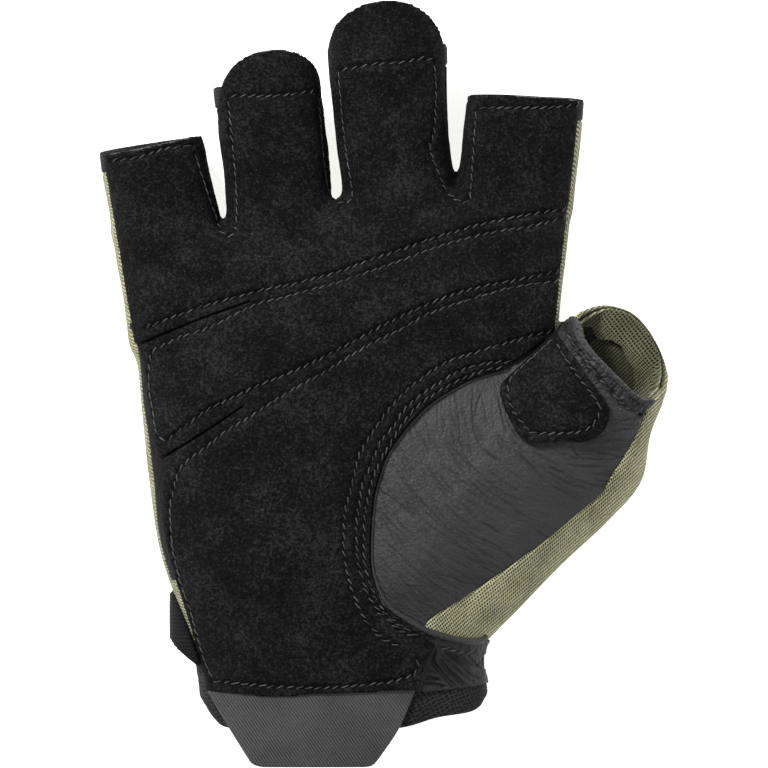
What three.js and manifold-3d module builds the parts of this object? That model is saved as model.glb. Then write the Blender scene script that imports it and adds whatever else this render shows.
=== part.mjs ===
// A half-finger weightlifting glove for the right hand, lying on its back with the palm up.
// Millimetres: +Z points out of the palm, +Y from the wrist to the fingers, +X to the thumb.
// The origin is on the surface that the glove lies on, under the middle of its outline.
import * as THREE from "three";
import { mergeVertices } from "three/addons/utils/BufferGeometryUtils.js";
import Module from "manifold-3d";

const wasm = await Module();
wasm.setup();

// Overall sizes of the outline seen from above
const LENGTH = 180;
const SPAN = 133;

// Heights of the stuffed-out form above the surface
const PALM_HEIGHT = 28;
const FINGER_HEIGHT = 19;
const THUMB_HEIGHT = 24;
const TIP_LIFT = 3.5;
const THUMB_LIFT = 7;

// Thicknesses of the layers
const KNIT = 1.5;
const LEATHER = 1.3;
const SUEDE = 1.9;
const WEBBING = 1.6;
const STRAP = 1.9;
const WELT = 1.5;

// Clearances and seams
const GAP = 0.3;
const EDGE_HEIGHT = 9;
const GUSSET_EDGE = 4.2;
const WELT_WIDTH = 2.2;
const RIM_WIDTH = 4;
const BINDING_WIDTH = 5;
const CUFF_WIDTH = 11;
const SLIT_WIDTH = 1.2;
const STRAP_RISE = 15;

// Facets of one section, the roundness of its upper side and the squareness of its lower side
const SIDES = 26;
const ROUNDNESS = 2.3;
const SQUARENESS = 3.2;

// The height of a cutting block and the largest crumb that a cut may leave
const TALL = 200;
const CRUMB = 6;

const COLOURS = {
  suede: { color: 0x2a2a2c, roughness: 0.95, metalness: 0 },
  leather: { color: 0x414144, roughness: 0.55, metalness: 0 },
  olive: { color: 0x8d8f62, roughness: 0.9, metalness: 0 },
  black: { color: 0x1d1d1f, roughness: 0.9, metalness: 0 },
  grey: { color: 0x4d4e51, roughness: 0.85, metalness: 0 },
};

// A table of rows with named columns.
function table(columns, rows) {
  const names = columns.split(" ");
  return rows.map((row) => Object.fromEntries(names.map((name, i) => [name, row[i]])));
}

// Sections of each form, from the wrist outwards: both ends of the section's width, as shares of
// SPAN and LENGTH, then its height and its lift as shares of the form's own height and lift.
const COLUMNS = "leftX leftY rightX rightY height lift";

const PALM = table(COLUMNS, [
  [-0.318, -0.54, 0.178, -0.54, 1.0, 1],
  [-0.33, -0.449, 0.19, -0.449, 1.0, 1],
  [-0.327, -0.365, 0.172, -0.365, 1.02, 1],
  [-0.367, -0.277, 0.189, -0.282, 1.06, 1],
  [-0.393, -0.214, 0.203, -0.219, 1.09, 0.5],
  [-0.413, -0.136, 0.23, -0.136, 1.08, 0],
  [-0.423, -0.053, 0.265, -0.053, 1.03, 0],
  [-0.43, 0.01, 0.291, 0.01, 0.99, 0],
  [-0.459, 0.114, 0.309, 0.114, 0.91, 0],
  [-0.471, 0.165, 0.316, 0.172, 0.82, 0],
  [-0.479, 0.205, 0.324, 0.215, 0.66, 0],
]);

const WEB = table(COLUMNS, [
  [-0.36, 0.13, 0.25, 0.14, 0.8, 0],
  [-0.3, 0.185, 0.28, 0.2, 0.79, 0],
  [-0.24, 0.21, 0.27, 0.23, 0.74, 0],
  [-0.15, 0.238, 0.2, 0.258, 0.64, 0],
]);

const FINGERS = {
  little: table(COLUMNS, [
    [-0.445, 0.13, -0.258, 0.159, 1.1, 0],
    [-0.476, 0.185, -0.278, 0.198, 1.06, 0],
    [-0.483, 0.215, -0.283, 0.222, 1.0, 0],
    [-0.499, 0.301, -0.316, 0.324, 0.92, 0.8],
    [-0.505, 0.335, -0.328, 0.358, 0.9, 1],
  ]),
  ring: table(COLUMNS, [
    [-0.268, 0.148, -0.07, 0.164, 1.14, 0],
    [-0.279, 0.21, -0.0875, 0.242, 1.04, 0],
    [-0.302, 0.386, -0.113, 0.391, 0.94, 0.8],
    [-0.309, 0.455, -0.119, 0.46, 0.92, 1],
  ]),
  middle: table(COLUMNS, [
    [-0.082, 0.148, 0.136, 0.164, 1.14, 0],
    [-0.0765, 0.244, 0.126, 0.26, 1.04, 0],
    [-0.105, 0.436, 0.108, 0.446, 0.94, 0.8],
    [-0.112, 0.525, 0.108, 0.535, 0.92, 1],
  ]),
  index: table(COLUMNS, [
    [0.129, 0.148, 0.3, 0.157, 1.1, 0],
    [0.126, 0.195, 0.321, 0.2, 1.08, 0],
    [0.127, 0.26, 0.335, 0.262, 1.0, 0],
    [0.145, 0.378, 0.351, 0.368, 0.94, 0.8],
    [0.15, 0.412, 0.357, 0.402, 0.92, 1],
  ]),
};

const THUMB = table(COLUMNS, [
  [-0.061, -0.176, 0.179, -0.336, 1.12, 0],
  [-0.01, -0.133, 0.23, -0.293, 1.16, 0],
  [0.065, -0.072, 0.306, -0.232, 1.16, 0],
  [0.142, -0.01, 0.385, -0.171, 1.1, 0.1],
  [0.239, 0.016, 0.443, -0.119, 1.02, 0.3],
  [0.288, 0.05, 0.46, -0.066, 0.96, 0.6],
  [0.346, 0.101, 0.504, -0.006, 0.86, 1],
  [0.39, 0.15, 0.545, 0.045, 0.8, 1.3],
]);

// The strap goes round the wrist outside the back and stands clear of the narrowing heel.
const STRAP_FORM = table(COLUMNS, [
  [-0.37, -0.375, 0.18, -0.375, 1.06, 0],
  [-0.376, -0.335, 0.18, -0.335, 1.06, 0],
  [-0.376, -0.275, 0.186, -0.275, 1.06, 0],
  [-0.372, -0.25, 0.19, -0.25, 1.06, 0],
]);

// Outlines of the pieces, as shares of SPAN and LENGTH
const MIDDLE_TAB = { x: 0.001, y: 0.434, halfWidth: 0.1025, rise: 0.0655, steps: 9 };
const RING_TAB = { x: -0.2, y: 0.388, halfWidth: 0.0875, rise: 0.047, steps: 9 };

// Half an ellipse from right to left, the round end of a pull tab.
function dome({ x, y, halfWidth, rise, steps }) {
  return Array.from({ length: steps + 1 }, (_, i) => {
    const turn = (Math.PI * i) / steps;
    return [x + halfWidth * Math.cos(turn), y + rise * Math.sin(turn)];
  });
}

const OVAL = [
  [0.092, -0.338],
  [0.033, -0.301],
  [-0.013, -0.243],
  [-0.017, -0.165],
  [0.018, -0.074],
  [0.098, -0.012],
  [0.203, 0.02],
  [0.3, 0.064],
];

const SUEDE_OUTLINE = [
  [-0.492, 0.296],
  [-0.47, 0.187],
  [-0.45, 0.096],
  [-0.438, 0.057],
  [-0.425, 0.028],
  [-0.419, -0.021],
  [-0.402, -0.081],
  [-0.392, -0.115],
  [-0.393, -0.152],
  [-0.379, -0.238],
  [-0.347, -0.309],
  [-0.319, -0.386],
  [-0.314, -0.398],
  [-0.173, -0.406],
  [0.05, -0.4],
  [0.07, -0.394],
  ...OVAL,
  [0.302, 0.08],
  [0.313, 0.187],
  [0.335, 0.317],
  [0.344, 0.356],
  [0.337, 0.37],
  [0.239, 0.374],
  [0.159, 0.379],
  [0.135, 0.372],
  [0.118, 0.405],
  ...dome(MIDDLE_TAB),
  [-0.109, 0.402],
  ...dome(RING_TAB),
  [-0.302, 0.36],
  [-0.32, 0.324],
  [-0.342, 0.322],
  [-0.473, 0.3],
];

// Each slit in the suede, from outside its edge to its closed end
const SLITS = [
  [
    [-0.46, 0.044],
    [-0.436, 0.054],
    [-0.342, 0.084],
    [-0.246, 0.107],
  ],
  [
    [-0.43, -0.112],
    [-0.388, -0.1],
    [-0.321, -0.068],
    [-0.253, -0.031],
  ],
];

const BASE_OUTLINE = [
  [-0.452, 0.109],
  [-0.405, -0.081],
  [-0.393, -0.17],
  [-0.378, -0.225],
  [-0.322, -0.367],
  [-0.28, -0.367],
  [-0.29, -0.2],
  [-0.212, -0.06],
  [-0.212, 0.13],
];

// The front edge of the thumb's mouth, and the back's edge, which stands out beyond it
const THUMB_RIM = [
  [0.334, 0.088],
  [0.351, 0.057],
  [0.376, 0.033],
  [0.411, 0.007],
  [0.432, -0.01],
  [0.455, -0.019],
  [0.474, -0.022],
];

const THUMB_MOUTH = [
  [0.3, 0.09],
  [0.342, 0.094],
  [0.383, 0.104],
  [0.4375, 0.093],
  [0.462, 0.074],
  [0.4956, 0.026],
  [0.503, 0.008],
  [0.53, -0.02],
];

const THENAR_OUTLINE = [
  ...OVAL,
  [0.312, 0.085],
  ...THUMB_RIM,
  [0.436, -0.074],
  [0.397, -0.126],
  [0.33, -0.178],
  [0.235, -0.23],
  [0.133, -0.282],
  [0.075, -0.309],
];

const PATCH_OUTLINE = [
  [0.305, 0.062],
  [0.342, 0.032],
  [0.381, -0.006],
  [0.397, -0.042],
  [0.388, -0.062],
  [0.365, -0.074],
  [0.311, -0.077],
  [0.26, -0.075],
  [0.236, -0.062],
  [0.215, -0.035],
  [0.205, 0.0],
  [0.232, 0.018],
  [0.262, 0.036],
];

const GUSSET_OUTLINE = [
  [0.092, -0.347],
  [0.175, -0.351],
  [0.215, -0.345],
  [0.23, -0.386],
  [0.18, -0.386],
  [0.072, -0.398],
  [0.083, -0.375],
];

const TAB_OUTLINE = [
  [-0.312, -0.405],
  [-0.276, -0.441],
  [-0.232, -0.488],
  [-0.22, -0.497],
  [-0.204, -0.5],
  [-0.044, -0.5],
  [-0.026, -0.496],
  [-0.012, -0.486],
  [0.026, -0.446],
  [0.054, -0.405],
  [-0.173, -0.411],
];

// The lower edge of the cuff, left to right, and the line where the thumb's side meets the back
const CUFF_EDGE = [
  [-0.45, -0.4],
  [-0.34, -0.415],
  [-0.298, -0.441],
  [-0.219, -0.456],
  [-0.096, -0.462],
  [0.036, -0.455],
  [0.145, -0.432],
  [0.196, -0.402],
  [0.26, -0.39],
];

const THUMB_SEAM = [
  [0.3, 0.11],
  [0.28, 0.05],
  [0.17, -0.06],
  [0.09, -0.18],
  [0.085, -0.36],
];

// Where each finger's back ends and the lines midway along the gaps between the fingers
const BACK_ENDS = {
  little: { left: [-0.55, 0.293], right: [-0.309, 0.326] },
  ring: { left: [-0.309, 0.386], right: [-0.109, 0.39] },
  middle: { left: [-0.109, 0.436], right: [0.126, 0.442] },
  index: { left: [0.126, 0.378], right: [0.42, 0.364] },
};

const FINGER_PAIRS = [
  { name: "little_ring", from: "little", to: "ring", crotch: [-0.279, 0.178] },
  { name: "ring_middle", from: "ring", to: "middle", crotch: [-0.084, 0.21] },
  { name: "middle_index", from: "middle", to: "index", crotch: [0.126, 0.225] },
];

const place = ([x, y]) => new THREE.Vector2(x * SPAN, y * LENGTH);

// A closed triangle mesh as a solid.
function solidOf(geometry) {
  geometry.deleteAttribute("normal");
  geometry.deleteAttribute("uv");
  const merged = mergeVertices(geometry, 1e-4);
  const vertProperties = merged.getAttribute("position").array;
  const triVerts = new Uint32Array(merged.getIndex().array);
  return new wasm.Manifold(new wasm.Mesh({ numProp: 3, vertProperties, triVerts }));
}

// One closed section: side widens it, top and bottom move its upper and lower faces out.
function section(row, height, lift, { side = 0, top = 0, bottom = 0 }) {
  const left = place([row.leftX, row.leftY]);
  const right = place([row.rightX, row.rightY]);
  const middle = left.clone().add(right).multiplyScalar(0.5);
  const across = right.clone().sub(left).normalize();
  const halfWidth = left.distanceTo(right) / 2 + side;
  const halfHeight = (row.height * height) / 2;
  const base = row.lift * lift;
  return Array.from({ length: SIDES }, (_, i) => {
    const turn = (2 * Math.PI * i) / SIDES;
    const upper = Math.sin(turn) >= 0;
    const power = 2 / (upper ? ROUNDNESS : SQUARENESS);
    const wide = Math.sign(Math.cos(turn)) * Math.abs(Math.cos(turn)) ** power;
    const tall = Math.abs(Math.sin(turn)) ** power;
    const z = base + halfHeight + (upper ? (halfHeight + top) * tall : -(halfHeight + 1) * tall);
    return new THREE.Vector3(
      middle.x + across.x * halfWidth * wide,
      middle.y + across.y * halfWidth * wide,
      Math.max(z, base - bottom),
    );
  });
}

// A section moved along its form: outwards from the one before it, or back towards it.
function moved(end, before, reach) {
  const ahead = end[0].clone().add(end[SIDES / 2]);
  const way = ahead.sub(before[0]).sub(before[SIDES / 2]).normalize();
  return end.map((point) => point.clone().addScaledVector(way, reach));
}

// A closed solid lofted through the sections of one form. An end is carried on by a positive
// reach, so that a cut leaves no skin over an opening, and drawn in by a negative one.
function loft(rows, height, lift, offsets, start = 0, end = 0) {
  const rings = rows.map((row) => section(row, height, lift, offsets));
  const last = moved(rings.at(-1), rings.at(-2), end);
  const first = moved(rings[0], rings[1], start);
  const kept = rings.slice(start > 0 ? 0 : 1, end > 0 ? rings.length : -1);
  const whole = [first, ...kept, last];
  const points = whole.flat();
  const faces = [];
  whole.slice(1).forEach((_, r) => {
    for (let i = 0; i < SIDES; i++) {
      const a = r * SIDES + i;
      const b = r * SIDES + ((i + 1) % SIDES);
      faces.push(a, b + SIDES, b, a, a + SIDES, b + SIDES);
    }
  });
  const far = (whole.length - 1) * SIDES;
  for (let i = 1; i < SIDES - 1; i++) {
    faces.push(0, i, i + 1, far, far + i + 1, far + i);
  }
  const geometry = new THREE.BufferGeometry().setFromPoints(points);
  geometry.setIndex(faces);
  return solidOf(geometry);
}

// The whole hand's form: palm, web, four fingers and thumb in one. Drawn in by a wall, it runs
// on past the wrist, the fingertips and the thumb's mouth and stays closed everywhere else.
function hand(offsets, wall = 0) {
  const open = wall > 0 ? wall + GAP : 0;
  const palm = loft(PALM, PALM_HEIGHT, STRAP + GAP, offsets, open, -wall);
  const web = loft(WEB, PALM_HEIGHT, 0, offsets, -wall, -wall);
  const thumb = loft(THUMB, THUMB_HEIGHT, THUMB_LIFT, offsets, -wall, open);
  const fingers = Object.values(FINGERS).map((rows) =>
    loft(rows, FINGER_HEIGHT, TIP_LIFT, offsets, -wall, open),
  );
  return [web, thumb, ...fingers].reduce((whole, form) => whole.add(form), palm);
}

// A layer of the hand between an outer form and the same form drawn in.
function layer(rise, thickness, sunk = 0) {
  const outer = hand({ side: -sunk, top: rise });
  const inner = hand(
    { side: -sunk - thickness, top: rise - thickness, bottom: -thickness },
    thickness,
  );
  return outer.subtract(inner);
}

// A layer laid over the hand's own surface.
const overlay = (thickness) => layer(thickness + GAP, thickness, -thickness - GAP);

// An upright block over an outline given in shares.
function block(outline, low = -TALL, high = TALL) {
  const shape = new THREE.Shape(outline.map(place));
  const geometry = new THREE.ExtrudeGeometry(shape, { depth: high - low, bevelEnabled: false });
  geometry.translate(0, 0, low);
  return solidOf(geometry);
}

// An outline moved outwards by a distance, corner by corner.
function grown(outline, distance) {
  const points = outline.map(place);
  const count = points.length;
  const area = THREE.ShapeUtils.area(points);
  return points.map((point, i) => {
    const before = point.clone().sub(points[(i + count - 1) % count]).normalize();
    const after = points[(i + 1) % count].clone().sub(point).normalize();
    const out = before.clone().add(after).normalize();
    const miter = Math.max(Math.abs(out.dot(before)), 0.5);
    const shift = (Math.sign(area) * distance) / miter;
    return [(point.x + out.y * shift) / SPAN, (point.y - out.x * shift) / LENGTH];
  });
}

// A band of even width along an open line, with its two long sides half a width away.
function band(line, width) {
  const points = line.map(place);
  const shifted = (sign) =>
    points.map((point, i) => {
      const before = points[Math.max(i - 1, 0)];
      const after = points[Math.min(i + 1, points.length - 1)];
      const way = after.clone().sub(before).normalize();
      const shift = (sign * width) / 2;
      return [(point.x + way.y * shift) / SPAN, (point.y - way.x * shift) / LENGTH];
    });
  return [...shifted(1), ...shifted(-1).reverse()];
}

// A piece without the crumbs that its cuts leave beside it.
function tidied(solid) {
  return wasm.Manifold.compose(solid.decompose().filter((body) => body.volume() > CRUMB));
}

// Everything past a line, on the side that the way (in shares) points to.
function past(line, [wayX, wayY], shift = 0) {
  const near = line.map(([x, y]) => [
    x + (shift / SPAN) * Math.sign(wayX),
    y + (shift / LENGTH) * Math.sign(wayY),
  ]);
  const far = near.map(([x, y]) => [x + wayX, y + wayY]).reverse();
  return [...near, ...far];
}

const reach = 1;
const edge = (outline, gap = 0) =>
  block(grown(outline, gap), EDGE_HEIGHT - gap, TALL);
const over = (outline, gap = 0) => block(grown(outline, gap));

// The padded suede front with its two slits.
function palmSuede() {
  let front = layer(SUEDE + GAP, SUEDE).intersect(edge(SUEDE_OUTLINE));
  for (const slit of SLITS) {
    front = front.subtract(block(band(slit, SLIT_WIDTH)));
  }
  return front;
}

// The smooth strip under the suede, which shows in the slits and along the little finger's side.
function sideBase() {
  return layer(0, LEATHER, SUEDE + GAP).intersect(edge(BASE_OUTLINE));
}

// The smooth leather over the ball of the thumb, up to the rim round the thumb's mouth.
const WELT_LINE = [[0.182, -0.35], ...OVAL.slice(0, 7)];

function thenarLeather() {
  return layer(0, LEATHER)
    .intersect(edge(THENAR_OUTLINE))
    .subtract(over(SUEDE_OUTLINE, GAP))
    .subtract(block(band(WELT_LINE, WELT_WIDTH + 2 * GAP)))
    .subtract(block(band(THUMB_RIM, 2 * RIM_WIDTH + 2 * GAP)));
}

function thumbRim() {
  return layer(GAP, LEATHER + GAP)
    .intersect(edge(THENAR_OUTLINE))
    .intersect(block(band(THUMB_RIM, 2 * RIM_WIDTH)))
    .subtract(over(SUEDE_OUTLINE, GAP))
    .subtract(over(PATCH_OUTLINE, GAP));
}

function thenarWelt() {
  return layer(WELT, WELT + LEATHER)
    .intersect(edge(band(WELT_LINE, WELT_WIDTH)))
    .subtract(over(SUEDE_OUTLINE, GAP));
}

function thumbPatch() {
  return overlay(SUEDE)
    .intersect(edge(PATCH_OUTLINE))
    .subtract(over(SUEDE_OUTLINE, GAP));
}

function wristGusset() {
  return layer(0, LEATHER)
    .intersect(edge(GUSSET_OUTLINE))
    .subtract(over(SUEDE_OUTLINE, GAP))
    .subtract(block(band(WELT_LINE, WELT_WIDTH + 2 * GAP)));
}

// The cuff is the last stretch of the tube, and the tab hangs from the hem over it.
function wristCuff() {
  return layer(0, KNIT)
    .intersect(block(past(CUFF_EDGE, [0, CUFF_WIDTH / LENGTH])))
    .subtract(edge(SUEDE_OUTLINE, GAP))
    .subtract(edge(GUSSET_OUTLINE, GAP));
}

function heelTab() {
  return overlay(WEBBING)
    .intersect(edge(TAB_OUTLINE))
    .subtract(over(SUEDE_OUTLINE, GAP));
}

function wristStrap() {
  const outer = loft(STRAP_FORM, PALM_HEIGHT, 0, {});
  const inner = loft(STRAP_FORM, PALM_HEIGHT, 0, { side: -STRAP, bottom: -STRAP }, STRAP, STRAP);
  const body = hand({ side: GAP, top: GAP, bottom: GAP });
  const low = block(STRAP_WINDOW, -TALL, STRAP_RISE);
  return outer.subtract(inner).subtract(body).intersect(low);
}

const STRAP_WINDOW = [
  [-0.5, -0.27],
  [-0.5, -0.338],
  [-0.376, -0.338],
  [-0.325, -0.366],
  [0.5, -0.366],
  [0.5, -0.27],
];

// The olive back with all that lies outside the front pieces' outlines.
const FRONT = [SUEDE_OUTLINE, BASE_OUTLINE, THENAR_OUTLINE, GUSSET_OUTLINE];

function back() {
  let shell = layer(0, KNIT);
  for (const outline of FRONT) {
    shell = shell.subtract(edge(outline, GAP));
  }
  return shell
    .subtract(edge(band(WELT_LINE, WELT_WIDTH), GAP))
    .subtract(block(past(CUFF_EDGE, [0, -reach], -CUFF_WIDTH - GAP)))
    .subtract(block(past(THUMB_MOUTH, [reach, reach])));
}

// The part of the back that lies over one finger, past the line where its opening ends.
function fingerEnd(name, shift) {
  const { left, right } = BACK_ENDS[name];
  return block(past([left, right], [0, reach], shift));
}

// The side walls on both sides of one gap between fingers, between the back's edge and the suede.
function gussetWindow({ from, to, crotch }, gap) {
  const line = (rows) => rows.slice(1).map((row) => [(row.leftX + row.rightX) / 2, row.leftY]);
  const left = line(FINGERS[from]);
  const right = line(FINGERS[to]).reverse();
  const outline = [[left[0][0], crotch[1]], ...left.slice(1), ...right.slice(0, -1)];
  outline.push([right.at(-1)[0], crotch[1]]);
  return block(grown(outline, gap), GUSSET_EDGE - gap, EDGE_HEIGHT);
}

const names = Object.keys(FINGERS);
const whole = back();

function fingerBinding(name) {
  return whole.intersect(fingerEnd(name, -BINDING_WIDTH)).subtract(fingerEnd(name, 0));
}

function fingerGusset(pair) {
  let piece = whole.intersect(gussetWindow(pair, 0));
  for (const name of [pair.from, pair.to]) {
    piece = piece.subtract(fingerEnd(name, -BINDING_WIDTH - GAP));
  }
  return piece;
}

function handBack() {
  let piece = whole.subtract(block(past(THUMB_SEAM, [reach, 0])));
  for (const pair of FINGER_PAIRS) {
    piece = piece.subtract(gussetWindow(pair, GAP));
  }
  for (const name of names) {
    piece = piece.subtract(fingerEnd(name, -BINDING_WIDTH - GAP));
  }
  return piece;
}

const pieces = new Map();
pieces.set("palm_suede", [palmSuede(), "suede"]);
pieces.set("side_base", [sideBase(), "leather"]);
pieces.set("thenar_leather", [thenarLeather(), "leather"]);
pieces.set("thenar_welt", [thenarWelt(), "leather"]);
pieces.set("thumb_patch", [thumbPatch(), "suede"]);
pieces.set("thumb_rim", [thumbRim(), "leather"]);
pieces.set("wrist_gusset", [wristGusset(), "leather"]);
pieces.set("wrist_cuff", [wristCuff(), "black"]);
pieces.set("heel_tab", [heelTab(), "grey"]);
pieces.set("wrist_strap", [wristStrap(), "black"]);
pieces.set("hand_back", [handBack(), "olive"]);
pieces.set("thumb_back", [whole.intersect(block(past(THUMB_SEAM, [reach, 0], GAP))), "olive"]);
for (const name of names) {
  pieces.set(`binding_${name}`, [fingerBinding(name), "black"]);
}
for (const pair of FINGER_PAIRS) {
  pieces.set(`gusset_${pair.name}`, [fingerGusset(pair), "black"]);
}

const glove = new THREE.Group();
for (const [name, [solid, finish]] of pieces) {
  const mesh = tidied(solid).getMesh();
  const geometry = new THREE.BufferGeometry();
  geometry.setAttribute("position", new THREE.BufferAttribute(mesh.vertProperties, 3));
  geometry.setIndex(new THREE.BufferAttribute(mesh.triVerts, 1));
  const piece = new THREE.Mesh(geometry, new THREE.MeshStandardMaterial(COLOURS[finish]));
  piece.name = name;
  glove.add(piece);
}

// The origin goes under the middle of the outline, on the surface.
const outline = new THREE.Box3().setFromObject(glove);
const centre = outline.getCenter(new THREE.Vector3());
glove.position.set(-centre.x, -centre.y, -outline.min.z);

export default glove;
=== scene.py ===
"""A half-finger weightlifting glove for the right hand, lying on its back with the palm up.

The hand's form is lofted from sections of the palm, fingers and thumb and fused into one smooth
skin. Each piece of leather, suede or knit is cut from that skin along its own outline, raised,
padded and given its thickness, and the stitches, welt and strap are laid on it.
"""

import math
import random

import bpy
import numpy as np
from mathutils import Matrix, Vector, noise
from mathutils.bvhtree import BVHTree


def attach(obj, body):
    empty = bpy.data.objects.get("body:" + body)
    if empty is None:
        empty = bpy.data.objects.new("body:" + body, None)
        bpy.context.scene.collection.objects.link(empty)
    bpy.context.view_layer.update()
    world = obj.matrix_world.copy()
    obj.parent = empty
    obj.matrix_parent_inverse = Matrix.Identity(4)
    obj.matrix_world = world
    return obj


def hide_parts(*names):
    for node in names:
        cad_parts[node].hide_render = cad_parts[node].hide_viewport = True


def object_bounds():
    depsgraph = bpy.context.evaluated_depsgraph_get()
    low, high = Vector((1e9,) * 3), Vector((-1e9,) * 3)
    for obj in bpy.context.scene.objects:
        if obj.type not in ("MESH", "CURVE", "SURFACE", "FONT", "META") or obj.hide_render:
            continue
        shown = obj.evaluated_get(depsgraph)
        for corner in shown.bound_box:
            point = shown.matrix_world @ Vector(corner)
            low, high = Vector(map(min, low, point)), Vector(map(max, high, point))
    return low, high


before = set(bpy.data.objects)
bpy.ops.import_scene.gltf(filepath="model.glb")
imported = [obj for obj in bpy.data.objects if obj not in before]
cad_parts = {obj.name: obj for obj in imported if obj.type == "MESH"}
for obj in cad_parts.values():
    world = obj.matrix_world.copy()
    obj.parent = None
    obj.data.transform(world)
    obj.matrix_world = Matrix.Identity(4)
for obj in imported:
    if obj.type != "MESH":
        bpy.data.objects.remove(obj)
LOW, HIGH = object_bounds()
MM = 0.001

# Where the outline's four sides lie in the picture, in pixels of 768
SIDES_IN_PICTURE = {"left": 101.2, "right": 674.0, "top": 0.65, "bottom": 767.5}
PICTURE_SIZE = 768

# Heights and thicknesses in millimetres
PALM_HEIGHT = 28.0
FINGER_HEIGHT = 19.0
THUMB_HEIGHT = 24.0
TIP_LIFT = 3.5
THUMB_LIFT = 7.0
BACK_LIFT = 2.2
SUEDE = 1.8
LEATHER = 1.2
KNIT = 1.4
SEAM_HEIGHT = 9.0
MOUTH_HEIGHT = 18.0
STRAP_TOP = 15.0
STRAP_THICKNESS = 1.7
STRAP_RADIUS = 0.6

# Widths of bands, overlaps and the windows for the fingers' side walls in millimetres
BINDING_WIDTH = 5.0
CUFF_WIDTH = 11.0
CUFF_UNDER = 2.2
KNIT_UNDER = 1.2
KNIT_OVER_CUFF = 10.8
HEM_WIDTH = 7.2
RIM_REACH = 1.1
WINDOW_REACH = 10.0
WINDOW_BELOW_CROTCH = 6.0
WINDOW_FOOT = 3.2

# How deep the knit goes down under what is sewn onto it, in millimetres
TUCK = 0.7
TUCK_FLAT = 0.2
TUCK_RUN_IN = 0.4

# The weave down the sides, in millimetres: the height where it starts, half the hand's width,
# and the share of each millimetre of height that the thumb's weave moves
FALL_HEIGHT = 10.0
HALF_HAND = 45.0
THUMB_SLANT = 0.7

# Sizes of triangles and of what is smoothed or made finer, in millimetres
VOXEL = 0.88
STRAP_VOXEL = 0.8
FINE_BY_SLITS = 1.6
BALL_RUN_IN = 4.0

# How high the ball of the thumb stands and how gently it starts, in millimetres
BULGE_HEIGHT = 3.4
BULGE_RUN_IN = 9.0

# How many short wrinkles there are round the thumb's mouth
RIM_CREASES = 110


def picture_scale():
    """Metres for each pixel across and down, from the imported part's own box."""
    across = (HIGH.x - LOW.x) / (SIDES_IN_PICTURE["right"] - SIDES_IN_PICTURE["left"])
    down = (HIGH.y - LOW.y) / (SIDES_IN_PICTURE["bottom"] - SIDES_IN_PICTURE["top"])
    return across, down


ACROSS, DOWN = picture_scale()


def spots(points):
    """Places in the picture as metres in the part's frame, one row each."""
    pixels = np.asarray(points, float)
    x = LOW.x + (pixels[:, 0] - SIDES_IN_PICTURE["left"]) * ACROSS
    y = HIGH.y - (pixels[:, 1] - SIDES_IN_PICTURE["top"]) * DOWN
    return np.column_stack([x, y])


def smooth_rows(rows, steps):
    """Rows of numbers with a smooth curve run through them."""
    table = np.asarray(rows, float)
    padded = np.vstack([2 * table[0] - table[1], table, 2 * table[-1] - table[-2]])
    made = []
    for i in range(len(table) - 1):
        before, a, b, after = padded[i : i + 4]
        for step in range(steps):
            t = step / steps
            made.append(
                0.5
                * (
                    2 * a
                    + (b - before) * t
                    + (2 * before - 5 * a + 4 * b - after) * t**2
                    + (3 * a - before - 3 * b + after) * t**3
                )
            )
    made.append(table[-1])
    return np.array(made)


def outline(stretches):
    """A closed outline in picture pixels from smooth stretches that meet in corners."""
    parts = [
        smooth_rows(stretch, 3) if len(stretch) > 2 else np.asarray(stretch, float)
        for stretch in stretches
    ]
    return np.vstack(parts)


# The hand's form: left and right end of each section in picture pixels, its height and lift in
# shares of the form's own height and lift
PALM = [
    (206, 800, 484, 800, 0.98, 1),
    (205, 735, 486, 735, 0.99, 1),
    (201, 696, 487, 696, 1.0, 1),
    (196.5, 664, 483, 664, 1.01, 1),
    (187.5, 635, 486, 640, 1.03, 1),
    (175.5, 598, 492, 600, 1.06, 0.9),
    (159.5, 548, 501, 552, 1.09, 0.5),
    (150, 488, 515, 488, 1.08, 0),
    (143, 424, 535, 424, 1.05, 0),
    (138.5, 376, 550, 376, 1.01, 0),
    (136, 361, 552, 361, 1.0, 0),
    (129, 345, 555, 346, 0.98, 0),
    (127, 332, 558, 332, 0.97, 0),
    (122.5, 296, 561.5, 296, 0.92, 0),
    (115.5, 260, 566.5, 256, 0.84, 0),
    (111.5, 232, 570.5, 222, 0.68, 0),
]
WEB = [
    (180, 286, 525, 278, 0.8, 0),
    (214, 244, 543, 232, 0.79, 0),
    (250, 226, 538, 209, 0.74, 0),
    (302, 202, 496, 188, 0.64, 0),
]
LITTLE = [
    (131, 284, 236, 262, 1.06, 0),
    (112, 242, 225.5, 232, 1.05, 0),
    (109, 215, 220, 216, 1.0, 0.1),
    (101, 172, 207.5, 168, 0.95, 0.5),
    (98.5, 150, 202.5, 143, 0.92, 0.8),
    (94, 118, 195, 108, 0.9, 1),
]
RING = [
    (234, 270, 343, 258, 1.14, 0),
    (228, 222, 332, 198, 1.04, 0.1),
    (223.5, 165, 328.5, 163, 0.98, 0.4),
    (217.5, 122, 323.5, 120, 0.95, 0.6),
    (213, 92, 320.5, 90, 0.93, 0.8),
    (211, 30, 313, 28, 0.9, 1),
]
MIDDLE = [
    (336, 270, 460, 258, 1.14, 0),
    (343, 196, 454.5, 184, 1.04, 0.1),
    (339, 155, 450.5, 153, 0.98, 0.4),
    (333, 100, 448, 100, 0.95, 0.6),
    (327.5, 50, 447.5, 48, 0.93, 0.8),
    (324, -22, 445, -22, 0.9, 1),
]
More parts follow.
